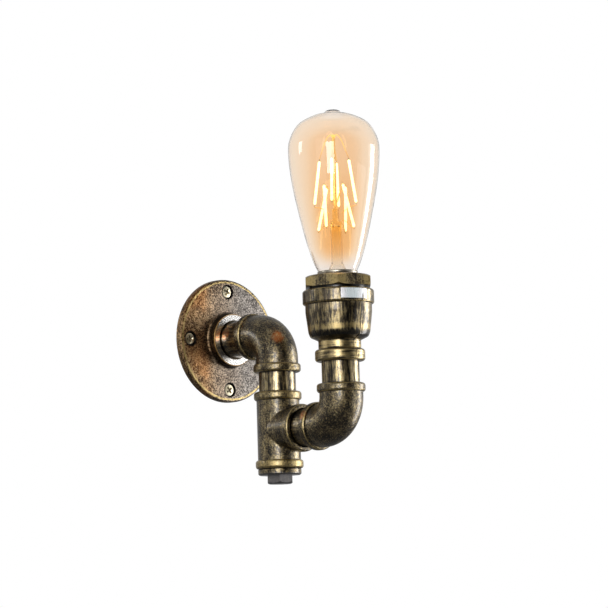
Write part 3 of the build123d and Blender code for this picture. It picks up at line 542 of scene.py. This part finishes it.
def striped_insulation():
    """Green insulation with a yellow stripe that runs along it."""
    f = Finish("green_yellow_insulation")
    side = f.coordinate(0)
    stripe = f.step(side, -0.1 * MM, 0.1 * MM)
    skin = f.noise(f.place, 1800.0, 2.0)
    return f.principled(Base_Color=f.mix(stripe, (0.03, 0.26, 0.06), (0.80, 0.66, 0.05)), Roughness=0.42,
                        Normal=f.bump(skin, 0.00002))


def foil_label():
    """Blank silver-white foil with a faint change of hue across it."""
    f = Finish("blank_foil")
    hue = f.noise(f.mapped((60, 60, 40)), 1.0, 2.0)
    colour = f.mix(f.step(hue, 0.35, 0.65), (0.78, 0.88, 0.90), (0.93, 0.90, 0.92))
    crease = f.noise(f.mapped((900, 900, 200)), 1.0, 3.0)
    return f.principled(Base_Color=colour, Metallic=0.35, Roughness=f.step(crease, 0.3, 0.7, 0.24, 0.36),
                        Normal=f.bump(crease, 0.00003), Coat_Weight=0.4, Coat_Roughness=0.1)


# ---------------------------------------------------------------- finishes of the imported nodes
RISER_AXIS = ((0, RISER_Y, 0), ACROSS_Z)
DROP_AXIS = ((0, DROP_Y, 0), ACROSS_Z)
BRANCH_AXIS = ((0, 0, BRANCH_Z), ACROSS_Y)
WALL_AXIS = ((0, 0, 0), ACROSS_Y)
UPPER_BEND = round_bend(DROP_Y + ELBOW_BEND_R, -ELBOW_BEND_R)
LOWER_BEND = round_bend(RISER_Y + ELBOW_BEND_R, BRANCH_Z + ELBOW_BEND_R)


def bell_edges(f):
    """Mask of the bell's rubbed edges: rim and foot band, and a share of the neck."""
    radius = f.distance_from(*RISER_AXIS)
    z = f.coordinate(2)
    rim = f.math("MULTIPLY", ridge_line(f, radius, BELL_RIM_R - 0.5 * MM, 0.45 * MM),
                 f.step(z, BELL_Z + 38 * MM, BELL_Z + 39 * MM))
    foot = f.math("MULTIPLY", ridge_line(f, radius, BEAD_R - BEAD_EDGE_IN, BEAD_EDGE_HALF),
                  f.step(z, BELL_Z + 12 * MM, BELL_Z + 10 * MM))
    neck = f.math("MULTIPLY", 0.6, f.step(z, BELL_Z + 16 * MM, BELL_Z + 14 * MM))
    low = f.math("MULTIPLY", 0.7, ridge_line(f, z, BELL_Z + 23 * MM, 3 * MM))
    return f.math("MAXIMUM", f.math("MAXIMUM", rim, foot), f.math("MAXIMUM", neck, low))


def bell_shoulder_shade(f):
    """Mask of painted shade on the bell's round shoulder, which looks down."""
    z = f.coordinate(2)
    return f.math("MULTIPLY", 0.85, ridge_line(f, z, BELL_Z + 17.5 * MM, 3.6 * MM))


def bush_edges(f):
    """Mask of the hexagon's upright edges."""
    radius = f.distance_from(*RISER_AXIS)
    return f.step(radius, BUSH_R - 3.4 * MM, BUSH_R - 0.9 * MM)


def bell_strokes(f):
    """Upright strokes on the bell's body and rim, turned rings on its neck and foot band."""
    z = f.coordinate(2)
    low = f.step(z, BELL_Z + 17.0 * MM, BELL_Z + 15.0 * MM)
    node = f.add("Mix", data_type="VECTOR")
    for index, value in ((0, low), (4, upright(f)), (5, ringed(f))):
        f.tree.links.new(value, node.inputs[index])
    return node.outputs[1]


def plug_finish():
    """The plug: cast bronze above, smooth grey lacquer on the hexagon head."""
    def head(f):
        z = f.coordinate(2)
        return f.step(z, low_of("tee").z - 2.6 * MM, low_of("tee").z - 4.2 * MM)
    return antique("plug_bronze", upright, 0.53, 0.30, smooth=head)


# where red metal shows: place and radius
ELBOW_COPPER = ((-0.0065, -0.0671, -0.0035), 6.5 * MM)
LOWER_COPPER = ((-0.016, -0.1000, -0.0610), 5.0 * MM)
NIPPLE_COPPER = ((-0.0125, -0.0170, 0.0035), 6.0 * MM)

FINISHES = {
    "wall_flange": flange_finish(),
    "upper_elbow": antique("upper_elbow_bronze", UPPER_BEND, 0.55, 0.22,
                           beads((WALL_AXIS, 1, high_of("upper_elbow").y, 0.0),
                                 (DROP_AXIS, 2, low_of("upper_elbow").z, 0.35)),
                           copper=[ELBOW_COPPER], contrast=0.10),
    "lower_elbow": antique("lower_elbow_bronze", LOWER_BEND, 0.55, 0.22,
                           beads((BRANCH_AXIS, 1, high_of("lower_elbow").y, 0.0),
                                 (RISER_AXIS, 2, high_of("lower_elbow").z, 0.15)),
                           copper=[LOWER_COPPER], contrast=0.10),
    "tee": antique("tee_bronze", upright, 0.545, 0.30,
                   beads((DROP_AXIS, 2, high_of("tee").z, 0.5), (DROP_AXIS, 2, low_of("tee").z, 0.9),
                         (BRANCH_AXIS, 1, low_of("tee").y, 0.1)), contrast=0.10),
    "bell_reducer": antique("bell_bronze", bell_strokes, 0.535, 0.80, bell_edges, shade_mask=bell_shoulder_shade),
    "hex_bushing": antique("bushing_bronze", upright, 0.54, 0.40, bush_edges),
    "end_plug": plug_finish(),
    "flange_nipple": antique("flange_nipple_bronze", level, 0.545, 0.60, copper=[NIPPLE_COPPER]),
    "drop_nipple": antique("drop_nipple_bronze", upright, 0.52, 0.90, rough=0.27),
    "branch_nipple": antique("branch_nipple_bronze", level, 0.54, 0.60),
    "riser_nipple": antique("riser_nipple_bronze", upright, 0.52, 0.90, rough=0.27),
    "holder_body": porcelain(),
    "bulb_stem": stem_glass(),
    "live_wire": plain_plastic("brown_insulation", (0.22, 0.10, 0.05)),
    "neutral_wire": plain_plastic("blue_insulation", (0.05, 0.18, 0.55)),
    "earth_wire": striped_insulation(),
    "terminal_block": plain_plastic("milky_plastic", (0.86, 0.85, 0.80), 0.3),
    "cap_insulator": plain_plastic("black_cap_glass", (0.02, 0.02, 0.024), 0.12),
    "cap_contact": plain_metal("solder", (0.72, 0.72, 0.70), 0.35),
    "driver_board": plain_plastic("green_board", (0.04, 0.22, 0.10), 0.35),
    "driver_parts": plain_plastic("black_component", (0.03, 0.03, 0.034), 0.45),
}
BRASS = plain_metal("contact_brass_finish", (0.86, 0.66, 0.32), 0.24)
STEEL = plain_metal("zinc_plated_steel", (0.66, 0.67, 0.69), 0.28)
CAP_METAL = plain_metal("cap_plating", (0.42, 0.38, 0.31), 0.34)
PALE_BRASS = plain_metal("pale_brass", (0.56, 0.50, 0.36), 0.34, hollows=1.2 * MM)
SHARED = {
    "holder_base": FINISHES["holder_body"],
    "centre_contact": BRASS, "live_terminal": BRASS, "neutral_terminal": BRASS, "contact_rivets": BRASS,
    "terminal_barrels": BRASS, "earth_tag": BRASS,
    "holder_screws": STEEL, "terminal_screws": STEEL, "earth_screw": STEEL, "terminal_block_screws": STEEL,
}


def finish_packed_nodes():
    """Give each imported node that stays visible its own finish."""
    for name, finish in {**FINISHES, **SHARED}.items():
        node = frame["nodes"][name]
        if not node.material_slots:
            node.data.materials.append(finish)
        for place in node.material_slots:
            place.material = finish


# ---------------------------------------------------------------- bulb
# meridian of the glass: radius and height above the bulb's lowest contact, in millimetres
BULB_SIDE = ((13.6, 27.0), (16.9, 34.6), (21.4, 49.6), (26.4, 70.9), (30.4, 92.1), (32.1, 111.0),
             (30.9, 121.0), (25.2, 131.2), (15.6, 136.9), (8.6, 138.9), (6.2, 139.8), (5.0, 141.0),
             (2.8, 141.75), (0.0, 142.0))
BULB_AXIS = (0.0, RISER_Y)
GLASS_SIDES = 144
PRESS_Z = CAP_LOW_Z + 61 * MM
SPIDER_Z = CAP_LOW_Z + 123 * MM


def bulb_glass():
    """The blown glass: a smooth meridian turned about the axis, with a second skin one wall inside it along
    the meridian's normals, and a straight neck that goes down into the cap."""
    line = smooth_line(np.array(BULB_SIDE) * MM, 150)
    line[:, 1] += CAP_LOW_Z
    slope = np.gradient(line, axis=0)
    slope /= np.linalg.norm(slope, axis=1)[:, None]
    inner = line + np.stack([-slope[:, 1], slope[:, 0]], 1) * GLASS_WALL
    inner = inner[inner[:, 0] > 0.4 * MM]
    inner = np.vstack([inner, [[0.0, inner[-1, 1]]]])
    neck_r = CAP_R - 0.8 * MM
    skirt = GLASS_FOOT_Z + 3 * MM
    neck = np.array([[neck_r, GLASS_FOOT_Z], [neck_r, skirt - 1 * MM], [neck_r, skirt]])
    neck_in = neck - [[GLASS_WALL, 0.0]]
    profile = np.vstack([inner[::-1], neck_in[::-1], neck, line])
    points = around(profile, GLASS_SIDES, BULB_AXIS)
    return put_mesh("bulb_glass_blown", [grid_part(points, wrap_v=True)], "bulb", amber_glass(),
                    ["bulb_glass"])


def thread_wave(angle, z, foot_z):
    """Height of a rounded right-hand thread, 0 in the root and 1 on the crest."""
    turn = (z - foot_z) / LAMP_PITCH - angle / (2 * math.pi)
    return 0.5 + 0.5 * np.cos(2 * math.pi * turn)


def rolled_thread(start, end, least_r):
    """Swell of a wall rolled into the lamp thread from start up to end: the wall goes in by the thread's
    depth between its crests and fades to plain over THREAD_FADE at both ends; inside least_r it is plain."""
    def swell(angle, r, z):
        fade = np.clip((z - start) / THREAD_FADE, 0, 1) * np.clip((end - z) / THREAD_FADE, 0, 1)
        return -LAMP_THREAD_DEEP * (1 - thread_wave(angle, z, CAP_LOW_Z)) * fade * (r > least_r)
    return swell


def bulb_cap():
    """Screw cap: a thin shell whose wall is rolled into the lamp thread, then a smooth skirt and rim."""
    start, end = CAP_LOW_Z + 6.2 * MM, CAP_LOW_Z + 21.5 * MM
    high = np.linspace(start, end, 90)
    outer = [(11.48 * MM, CAP_LOW_Z + 4.3 * MM), (12.3 * MM, CAP_LOW_Z + 4.6 * MM)]
    outer += [(CAP_R, z) for z in high]
    outer += [(CAP_R, CAP_LOW_Z + 23 * MM), (CAP_R + 0.3 * MM, CAP_LOW_Z + 23.8 * MM),
              (CAP_RIM_R - 0.15 * MM, CAP_RIM_Z - 1.7 * MM), (CAP_RIM_R, CAP_RIM_Z - 1.3 * MM),
              (CAP_RIM_R, CAP_RIM_Z - 0.15 * MM), (CAP_RIM_R - 0.1 * MM, CAP_RIM_Z)]
    outer = np.array(outer)
    inner = outer[::-1] - [[CAP_WALL, 0.0]]
    profile = np.vstack([outer, inner, outer[:1]])
    points = around(profile, THREAD_SIDES, BULB_AXIS, rolled_thread(start, end, 0.0))
    return put_mesh("bulb_cap_threaded", [grid_part(points, wrap_v=True)], "bulb", CAP_METAL,
                    ["bulb_cap"], sharp_deg=55)


def screw_shell():
    """Brass shell of the lamp holder, rolled into the same thread as the cap, with a turned-in foot."""
    low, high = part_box("screw_shell")
    wall = 0.4 * MM
    foot_r = 6.6 * MM
    heights = np.linspace(low.z + wall, high.z, 100)
    outer = [(foot_r, low.z), (SHELL_R - 0.3 * MM, low.z), (SHELL_R, low.z + 0.3 * MM)]
    outer += [(SHELL_R, z) for z in heights]
    inner = [(SHELL_R - wall, z) for z in heights[::-1]] + [(foot_r, low.z + wall)]
    profile = np.array(outer + inner + outer[:1])
    rolled = rolled_thread(low.z + 2.0 * MM, high.z - 1.0 * MM, 13 * MM)
    points = around(profile, THREAD_SIDES, BULB_AXIS, rolled)
    return put_mesh("screw_shell_threaded", [grid_part(points, wrap_v=True)], "fixture", BRASS,
                    ["screw_shell"], sharp_deg=55)


# each tier: radius and height at the top, radius and height at the foot, turn of the first, twist to the foot
FILAMENT_TIERS = ((10.4, 106.0, 14.8, 75.0, 37.8, 0.0), (9.3, 88.0, 14.2, 57.0, 353.0, 26.0))
FILAMENTS_IN_TIER = 4
FILAMENT_R = 0.95 * MM
FILAMENT_RINGS = 34
WIRE_R = 0.24 * MM


def tier_ends(tier):
    """Top and foot of every filament of a tier."""
    top_r, top_z, foot_r, foot_z, turn, twist = tier
    a = np.radians(turn + np.arange(FILAMENTS_IN_TIER) * 360 / FILAMENTS_IN_TIER)
    b = a + math.radians(twist)

    def ring(r, angle, z):
        return np.stack([r * MM * np.cos(angle), RISER_Y + r * MM * np.sin(angle),
                         np.full(len(angle), CAP_LOW_Z + z * MM)], 1)
    return ring(top_r, a, top_z), ring(foot_r, b, foot_z)


def filaments():
    """Coated strips: a rod between its ends whose radius rises quickly from a rounded tip."""
    strips, tabs = [], []
    for tier in FILAMENT_TIERS:
        for top, foot in zip(*tier_ends(tier)):
            along = np.linspace(0, 1, FILAMENT_RINGS)
            line = foot + (top - foot) * along[:, None]
            ends = np.minimum(along, 1 - along)
            radius = FILAMENT_R * np.sqrt(np.clip(1 - (1 - np.clip(ends / 0.03, 0, 1)) ** 2, 0.02, 1))
            strips.append(grid_part(tube(line, radius, 14), wrap_v=True))
            unit = (top - foot) / np.linalg.norm(top - foot)
            for end, way in ((top, 1), (foot, -1)):
                tab = np.array([end - way * unit * 0.6 * MM, end + way * unit * 1.1 * MM])
                tabs.append(grid_part(tube(tab, 0.42 * MM, 8, flat=0.45), wrap_v=True))
    put_mesh("filament_strips", strips, "bulb", lit_filament(), ["filaments"])
    put_mesh("filament_tabs", tabs, "bulb", STEEL)


def filament_supports():
    """Drawn wires: from the stem's press out to the feet, up to the lower tier's tops, and from the top
    spider down to the upper tier; each is a smooth curve with a crook near its end."""
    wires = []
    upper_tops, upper_feet = tier_ends(FILAMENT_TIERS[0])
    lower_tops, lower_feet = tier_ends(FILAMENT_TIERS[1])
    axis = np.array([0.0, RISER_Y, 0.0])

    def spoke(end, start_r, start_z, lift, bow):
        """A wire from the stem at start_r, start_z to end, bowed outwards by bow and lifted by lift."""
        out = end - axis
        out[2] = 0.0
        out /= np.linalg.norm(out)
        side = np.array([-out[1], out[0], 0.0])
        start = axis + out * start_r + [0, 0, start_z]
        reach = np.linalg.norm((end - axis)[:2])
        mid = axis + out * (start_r + (reach - start_r) * 0.45) + side * bow
        mid = mid + [0, 0, start_z + (end[2] - start_z) * 0.3 + lift]
        near = axis + out * (reach - 0.6 * MM) + [0, 0, end[2] + (start_z - end[2]) * 0.10]
        knots = np.array([start, start + out * 1.2 * MM + [0, 0, lift * 0.5], mid, near, end])
        wires.append(grid_part(tube(smooth_line(knots, 26), WIRE_R, 8), wrap_v=True))

    for foot in upper_feet:
        spoke(foot - [0, 0, 1.2 * MM], 4.4 * MM, PRESS_Z + 7 * MM, 2.2 * MM, 0.9 * MM)
    for foot in lower_feet:
        spoke(foot - [0, 0, 1.2 * MM], 4.4 * MM, PRESS_Z + 1.0 * MM, 1.2 * MM, -0.9 * MM)
    for top in lower_tops:
        spoke(top + [0, 0, 1.1 * MM], 1.2 * MM, PRESS_Z + 15 * MM, 3.0 * MM, 0.6 * MM)
    for top in upper_tops:
        spoke(top + [0, 0, 1.1 * MM], 0.9 * MM, SPIDER_Z, 2.6 * MM, 0.4 * MM)
    hub = smooth_line([[0, RISER_Y, SPIDER_Z + step] for step in (-1.2 * MM, 0, 1.4 * MM)], 9)
    swelling = 1.5 * MM * np.sin(np.linspace(0.35, math.pi - 0.35, 9))
    wires.append(grid_part(tube(hub, swelling, 16, (1, 0, 0)), wrap_v=True))
    put_mesh("filament_supports", wires, "bulb", warm_wire(), ["top_spider", "filament_wires"])


# ---------------------------------------------------------------- wall screws
def wall_screws():
    """Countersunk wood screws: from the head's centre out over its dome, down the cone and the shank to the
    point.  The shank's radius carries a sharp helical ridge, and a cross is pressed into the head."""
    head_r, thread_r, plain_r, core_r = 4.0 * MM, 2.0 * MM, 1.75 * MM, 1.45 * MM
    pitch, point_long, sides = 1.9 * MM, 5 * MM, 48
    cross_long, cross_wide, cross_deep = 2.3 * MM, 0.62 * MM, 1.5 * MM      # halves of an arm, and its depth
    low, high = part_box("wall_screws")
    ring_r = (high.x - low.x) / 2 - head_r
    length = high.y - low.y
    r_dome = np.linspace(0, head_r, 26)
    dome = np.stack([r_dome, 0.45 * MM * (r_dome / head_r) ** 2], 1)
    cone = np.array([[head_r, 0.75 * MM], [plain_r, 3.0 * MM]])
    depth = np.linspace(3.2 * MM, length, 230)
    taper = np.clip((length - depth) / point_long, 0, 1)
    shank = np.stack([core_r * taper, depth], 1)
    profile = np.vstack([dome, cone, shank])
    angle = np.linspace(0, 2 * math.pi, sides, endpoint=False)[None, :]
    r = np.repeat(profile[:, :1], sides, 1)
    deep = np.repeat(profile[:, 1:], sides, 1)
    ridge = np.abs(((deep / pitch - angle / (2 * math.pi)) % 1.0) - 0.5) * 2
    ridge = np.clip((ridge - 0.55) / 0.45, 0, 1)
    in_wall = length - high.y
    threaded = np.clip((deep - in_wall) / (1.5 * MM), 0, 1) * np.clip((length - deep) / (4 * MM), 0, 1)
    plain = np.clip((in_wall - deep) / (1 * MM), 0, 1) * (plain_r - core_r) / (thread_r - core_r)
    r = r + (thread_r - core_r) * np.maximum(ridge * threaded, plain) * (deep > 3.1 * MM)
    x, z = r * np.cos(angle), r * np.sin(angle)
    arm = np.minimum(np.maximum(np.abs(x) / cross_long, np.abs(z) / cross_wide),
                     np.maximum(np.abs(z) / cross_long, np.abs(x) / cross_wide))
    in_head = (np.arange(len(profile)) < len(r_dome))[:, None]
    deep = deep + cross_deep * np.clip((1.25 - arm) / 0.5, 0, 1) * in_head
    parts = []
    for number, a in enumerate(screw_turns()):
        turn = math.radians(38) + 0.5 * number      # each screw stopped at another angle
        px = ring_r * math.cos(a) + x * math.cos(turn) - z * math.sin(turn)
        pz = ring_r * math.sin(a) + x * math.sin(turn) + z * math.cos(turn)
        parts.append(grid_part(np.stack([px, low.y + deep, pz], -1), wrap_v=True))
    return put_mesh("wall_screws_cut", parts, "fixture", PALE_BRASS, ["wall_screws"],
                    sharp_deg=35)


# ---------------------------------------------------------------- casting seams and label
def seam(path, outward, wide=0.8 * MM, high=0.32 * MM):
    """A parting line: a low half-round ridge along the path, its height along outward at each point, its
    flat underside sunk into the casting."""
    path, outward = np.asarray(path, float), np.asarray(outward, float)
    outward = outward / np.linalg.norm(outward, axis=1)[:, None]
    t = np.linspace(-1, 1, 9)
    x = np.concatenate([t, t[::-1]]) * wide
    fade = np.clip(np.minimum(np.arange(len(path)), np.arange(len(path))[::-1]) / 4, 0, 1)[:, None]
    top = (1 - t[None, :] ** 2) * high * fade - 0.12 * MM
    lift = np.concatenate([top, np.full(top.shape, -0.4 * MM)], 1)
    points = path[:, None] + outward[:, None] * lift[..., None]
    points[..., 0] += x
    ends = [np.repeat(points[i].mean(0)[None], len(x), 0)[None] for i in (0, -1)]
    return grid_part(np.concatenate([ends[0], points, ends[1]]), wrap_v=True)


# outline of the bell from its foot band up to its rim: radius and height above its foot, in millimetres
BELL_SIDE = ((17.5, 1.8), (17.5, 6.2), (16.5, 7.6), (15.3, 8.5), (14.9, 9.8), (14.9, 13.4), (15.7, 14.8),
             (19.0, 16.3), (20.8, 18.2), (21.7, 22.0), (22.4, 28.0), (23.1, 33.0), (23.3, 39.0), (24.2, 40.1),
             (25.0, 41.6), (25.0, 48.2))


def bell_seams():
    """Parting lines down the front and back of the bell, in the plane of the pipes."""
    line = smooth_line(np.array(BELL_SIDE) * MM, 90)
    slope = np.gradient(line, axis=0)
    out = np.stack([slope[:, 1], -slope[:, 0]], 1)
    parts = []
    for way in (-1, 1):
        path = np.stack([np.zeros(len(line)), RISER_Y + way * line[:, 0], BELL_Z + line[:, 1]], 1)
        face = np.stack([np.zeros(len(line)), way * out[:, 0], out[:, 1]], 1)
        parts.append(seam(path, face))
    return put_mesh("bell_seams", parts, "fixture", FINISHES["bell_reducer"])


def blank_label():
    """A blank foil label wrapped on the bell's rim: a grid over the angle and the height, a hair outside."""
    facing = math.radians(-42.3)                    # the side of the bell that the label is seen from
    a = np.linspace(facing + math.radians(3.5), facing + math.radians(51.0), 40)
    z = np.linspace(BELL_TOP_Z - 8.2 * MM, BELL_TOP_Z - 1.2 * MM, 10)
    a, z = np.meshgrid(a, z, indexing="ij")
    outer, inner = (np.stack([r * np.sin(a), RISER_Y - r * np.cos(a), z], -1)
                    for r in (BELL_RIM_R + 0.12 * MM, BELL_RIM_R + 0.02 * MM))
    wrap = np.concatenate([outer, inner[:, ::-1]], axis=1)
    sheet = grid_part(wrap, wrap_v=True)
    caps = [grid_part(np.stack([outer[i], inner[i]], 0)) for i in (0, -1)]
    return put_mesh("blank_label", [sheet, *caps], "fixture", foil_label())


# ---------------------------------------------------------------- studio
CAMERA_TURN = math.radians(-42.28)
CAMERA_RISE = math.radians(-6.76)
CAMERA_ROLL = math.radians(1.697)
CAMERA_AWAY = 1.8541
CAMERA_AIM = np.array([0.0, -0.070, 0.020])
CAMERA_SLIDE = (-0.01261, 0.00018)
FRAME_PIXELS = 608
FOCAL_PIXELS = 2600


def camera():
    """The photograph's viewpoint: a long lens, slightly below the lamp, turned 42 degrees to its left."""
    a, e, g = CAMERA_TURN, CAMERA_RISE, CAMERA_ROLL
    back = np.array([math.sin(a) * math.cos(e), -math.cos(a) * math.cos(e), math.sin(e)])
    right = np.array([math.cos(a), math.sin(a), 0.0])
    up = np.cross(back, right)
    place = CAMERA_AIM + back * CAMERA_AWAY - right * CAMERA_SLIDE[0] - up * CAMERA_SLIDE[1]
    data = bpy.data.cameras.new("camera")
    data.sensor_width = 36.0
    data.lens = FOCAL_PIXELS / FRAME_PIXELS * data.sensor_width
    data.clip_end = 20.0
    item = put_in_scene("camera", data)
    columns = (right * math.cos(g) - up * math.sin(g), right * math.sin(g) + up * math.cos(g), back)
    rows = [[*(float(c[i]) for c in columns), float(place[i])] for i in range(3)]
    item.matrix_world = Matrix(rows + [[0, 0, 0, 1]])
    bpy.context.scene.camera = item


def looking_from(turn_deg, rise_deg):
    """Unit vector from the lamp towards a direction given as a turn about +Z from the room and a rise."""
    a, e = math.radians(turn_deg), math.radians(rise_deg)
    return np.array([math.sin(a) * math.cos(e), -math.cos(a) * math.cos(e), math.sin(e)])


LAMP_MIDDLE = np.array([0.0, -0.08, 0.02])


def hide_from(item, *rays):
    """Keep an object out of what these kinds of rays meet."""
    for ray in rays:
        setattr(item, "visible_" + ray, False)


def panel(name, turn_deg, rise_deg, away, wide, high, radiance):
    """A rectangular soft light that faces the lamp; its power follows from the radiance wanted."""
    data = bpy.data.lights.new(name, "AREA")
    data.shape = "RECTANGLE"
    data.size, data.size_y = wide, high
    data.energy = radiance * math.pi * wide * high
    item = put_in_scene(name, data)
    out = Vector(looking_from(turn_deg, rise_deg))
    item.location = Vector(LAMP_MIDDLE) + out * away
    item.rotation_euler = out.to_track_quat("Z", "Y").to_euler()
    hide_from(item, "camera", "transmission")


def screen(mesh, name, radiance):
    """Put a mesh in the scene that shows one even grey, and only in reflections."""
    f = Finish(name + "_cloth")
    glow = f.add("Emission", {"Color": (1, 1, 1, 1), "Strength": radiance})
    f.add("OutputMaterial", {"Surface": glow.outputs[0]})
    mesh.materials.append(f.material)
    item = put_in_scene(name, mesh)
    hide_from(item, "camera", "transmission", "shadow", "diffuse")


def flat_sheet(name, corners):
    """Mesh of one rectangle from its four corners, seen from the side on which they run anticlockwise."""
    mesh = bpy.data.meshes.new(name)
    mesh.from_pydata(corners, [], [(0, 1, 2, 3)])
    return mesh


def card(name, turn_from, turn_to, low, high, away, radiance):
    """A curved screen round part of the lamp: a grid over turn and height."""
    a = np.radians(np.linspace(turn_from, turn_to, 25))[:, None]
    z = np.linspace(low, high, 2)[None, :]
    x, y = away * np.sin(a), LAMP_MIDDLE[1] - away * np.cos(a)
    points, faces = grid_part(np.stack([x + 0 * z, y + 0 * z, z + 0 * a], -1))
    mesh = bpy.data.meshes.new(name)
    mesh.from_pydata(points.tolist(), [], faces.tolist())
    screen(mesh, name, radiance)


def dark_floor():
    """A dark grey sheet below the lamp, seen only in reflections."""
    half, z = 2.5, -0.60
    corners = [(-half, -half, z), (half, -half, z), (half, half, z), (-half, half, z)]
    screen(flat_sheet("dark_floor", corners), "dark_floor", 0.17)


def wall():
    """A white wall the flange stands against, seen by the camera only and only from the room."""
    half, y = 3.0, 0.3 * MM
    mesh = flat_sheet("wall", [(-half, y, -half), (half, y, -half), (half, y, half), (-half, y, half)])
    f = Finish("white_wall")
    white = f.add("Emission", {"Color": (1, 1, 1, 1), "Strength": 1.0})
    behind = f.add("NewGeometry").outputs["Backfacing"]
    see = f.add("MixShader", {0: behind, 1: white.outputs[0], 2: f.add("BsdfTransparent").outputs[0]})
    f.add("OutputMaterial", {"Surface": see.outputs[0]})
    mesh.materials.append(f.material)
    item = put_in_scene("wall", mesh)
    hide_from(item, "glossy", "transmission", "shadow", "diffuse")


AMBIENT = 0.32                   # what lights the surfaces
SURROUND = 0.45                  # what they reflect


def world():
    """White behind the lamp and through its glass, a dimmer grey in reflections, and dimmer still as the
    light that falls on surfaces."""
    sky = bpy.data.worlds.new("studio")
    bpy.context.scene.world = sky
    sky.use_nodes = True
    tree = sky.node_tree
    tree.nodes.clear()
    path = tree.nodes.new("ShaderNodeLightPath").outputs
    clear = tree.nodes.new("ShaderNodeMath")
    clear.operation = "MAXIMUM"
    tree.links.new(path["Is Camera Ray"], clear.inputs[0])
    tree.links.new(path["Is Transmission Ray"], clear.inputs[1])
    shade = None
    for strength, chosen in ((AMBIENT, None), (SURROUND, path["Is Glossy Ray"]), (1.0, clear.outputs[0])):
        plain = tree.nodes.new("ShaderNodeBackground")
        plain.inputs["Color"].default_value = (1, 1, 1, 1)
        plain.inputs["Strength"].default_value = strength
        if shade is None:
            shade = plain.outputs[0]
            continue
        mix = tree.nodes.new("ShaderNodeMixShader")
        tree.links.new(chosen, mix.inputs[0])
        tree.links.new(shade, mix.inputs[1])
        tree.links.new(plain.outputs[0], mix.inputs[2])
        shade = mix.outputs[0]
    out = tree.nodes.new("ShaderNodeOutputWorld")
    tree.links.new(shade, out.inputs["Surface"])


def studio():
    """A key light beside the camera with a dimmer wing, a strip close by on the right with its wing and a
    low light before it, a small window behind on the left, and dark screens in front and below: the bright
    and dark bands of the metal."""
    panel("key_softbox", -50.5, 6, 1.5, 0.50, 0.50, 14.0)
    panel("key_wing", -75, 5, 1.6, 0.65, 1.1, 1.1)
    panel("right_strip", 65, -10, 0.55, 0.18, 0.62, 8.0)
    panel("right_wing", 67, -4, 1.5, 0.76, 0.95, 2.0)
    panel("right_low", 31, -10, 1.4, 0.72, 0.66, 1.5)
    panel("left_window", -134, 15, 1.5, 0.30, 0.28, 9.0)
    card("front_screen", -31, 31, -1.3, 2.0, 1.7, 0.02)
    dark_floor()


# ---------------------------------------------------------------- the lamp
finish_packed_nodes()
bulb_glass()
bulb_cap()
screw_shell()
filaments()
filament_supports()
wall_screws()
bell_seams()
blank_label()
wall()
world()
studio()
camera()
bpy.context.scene.view_settings.view_transform = "Standard"
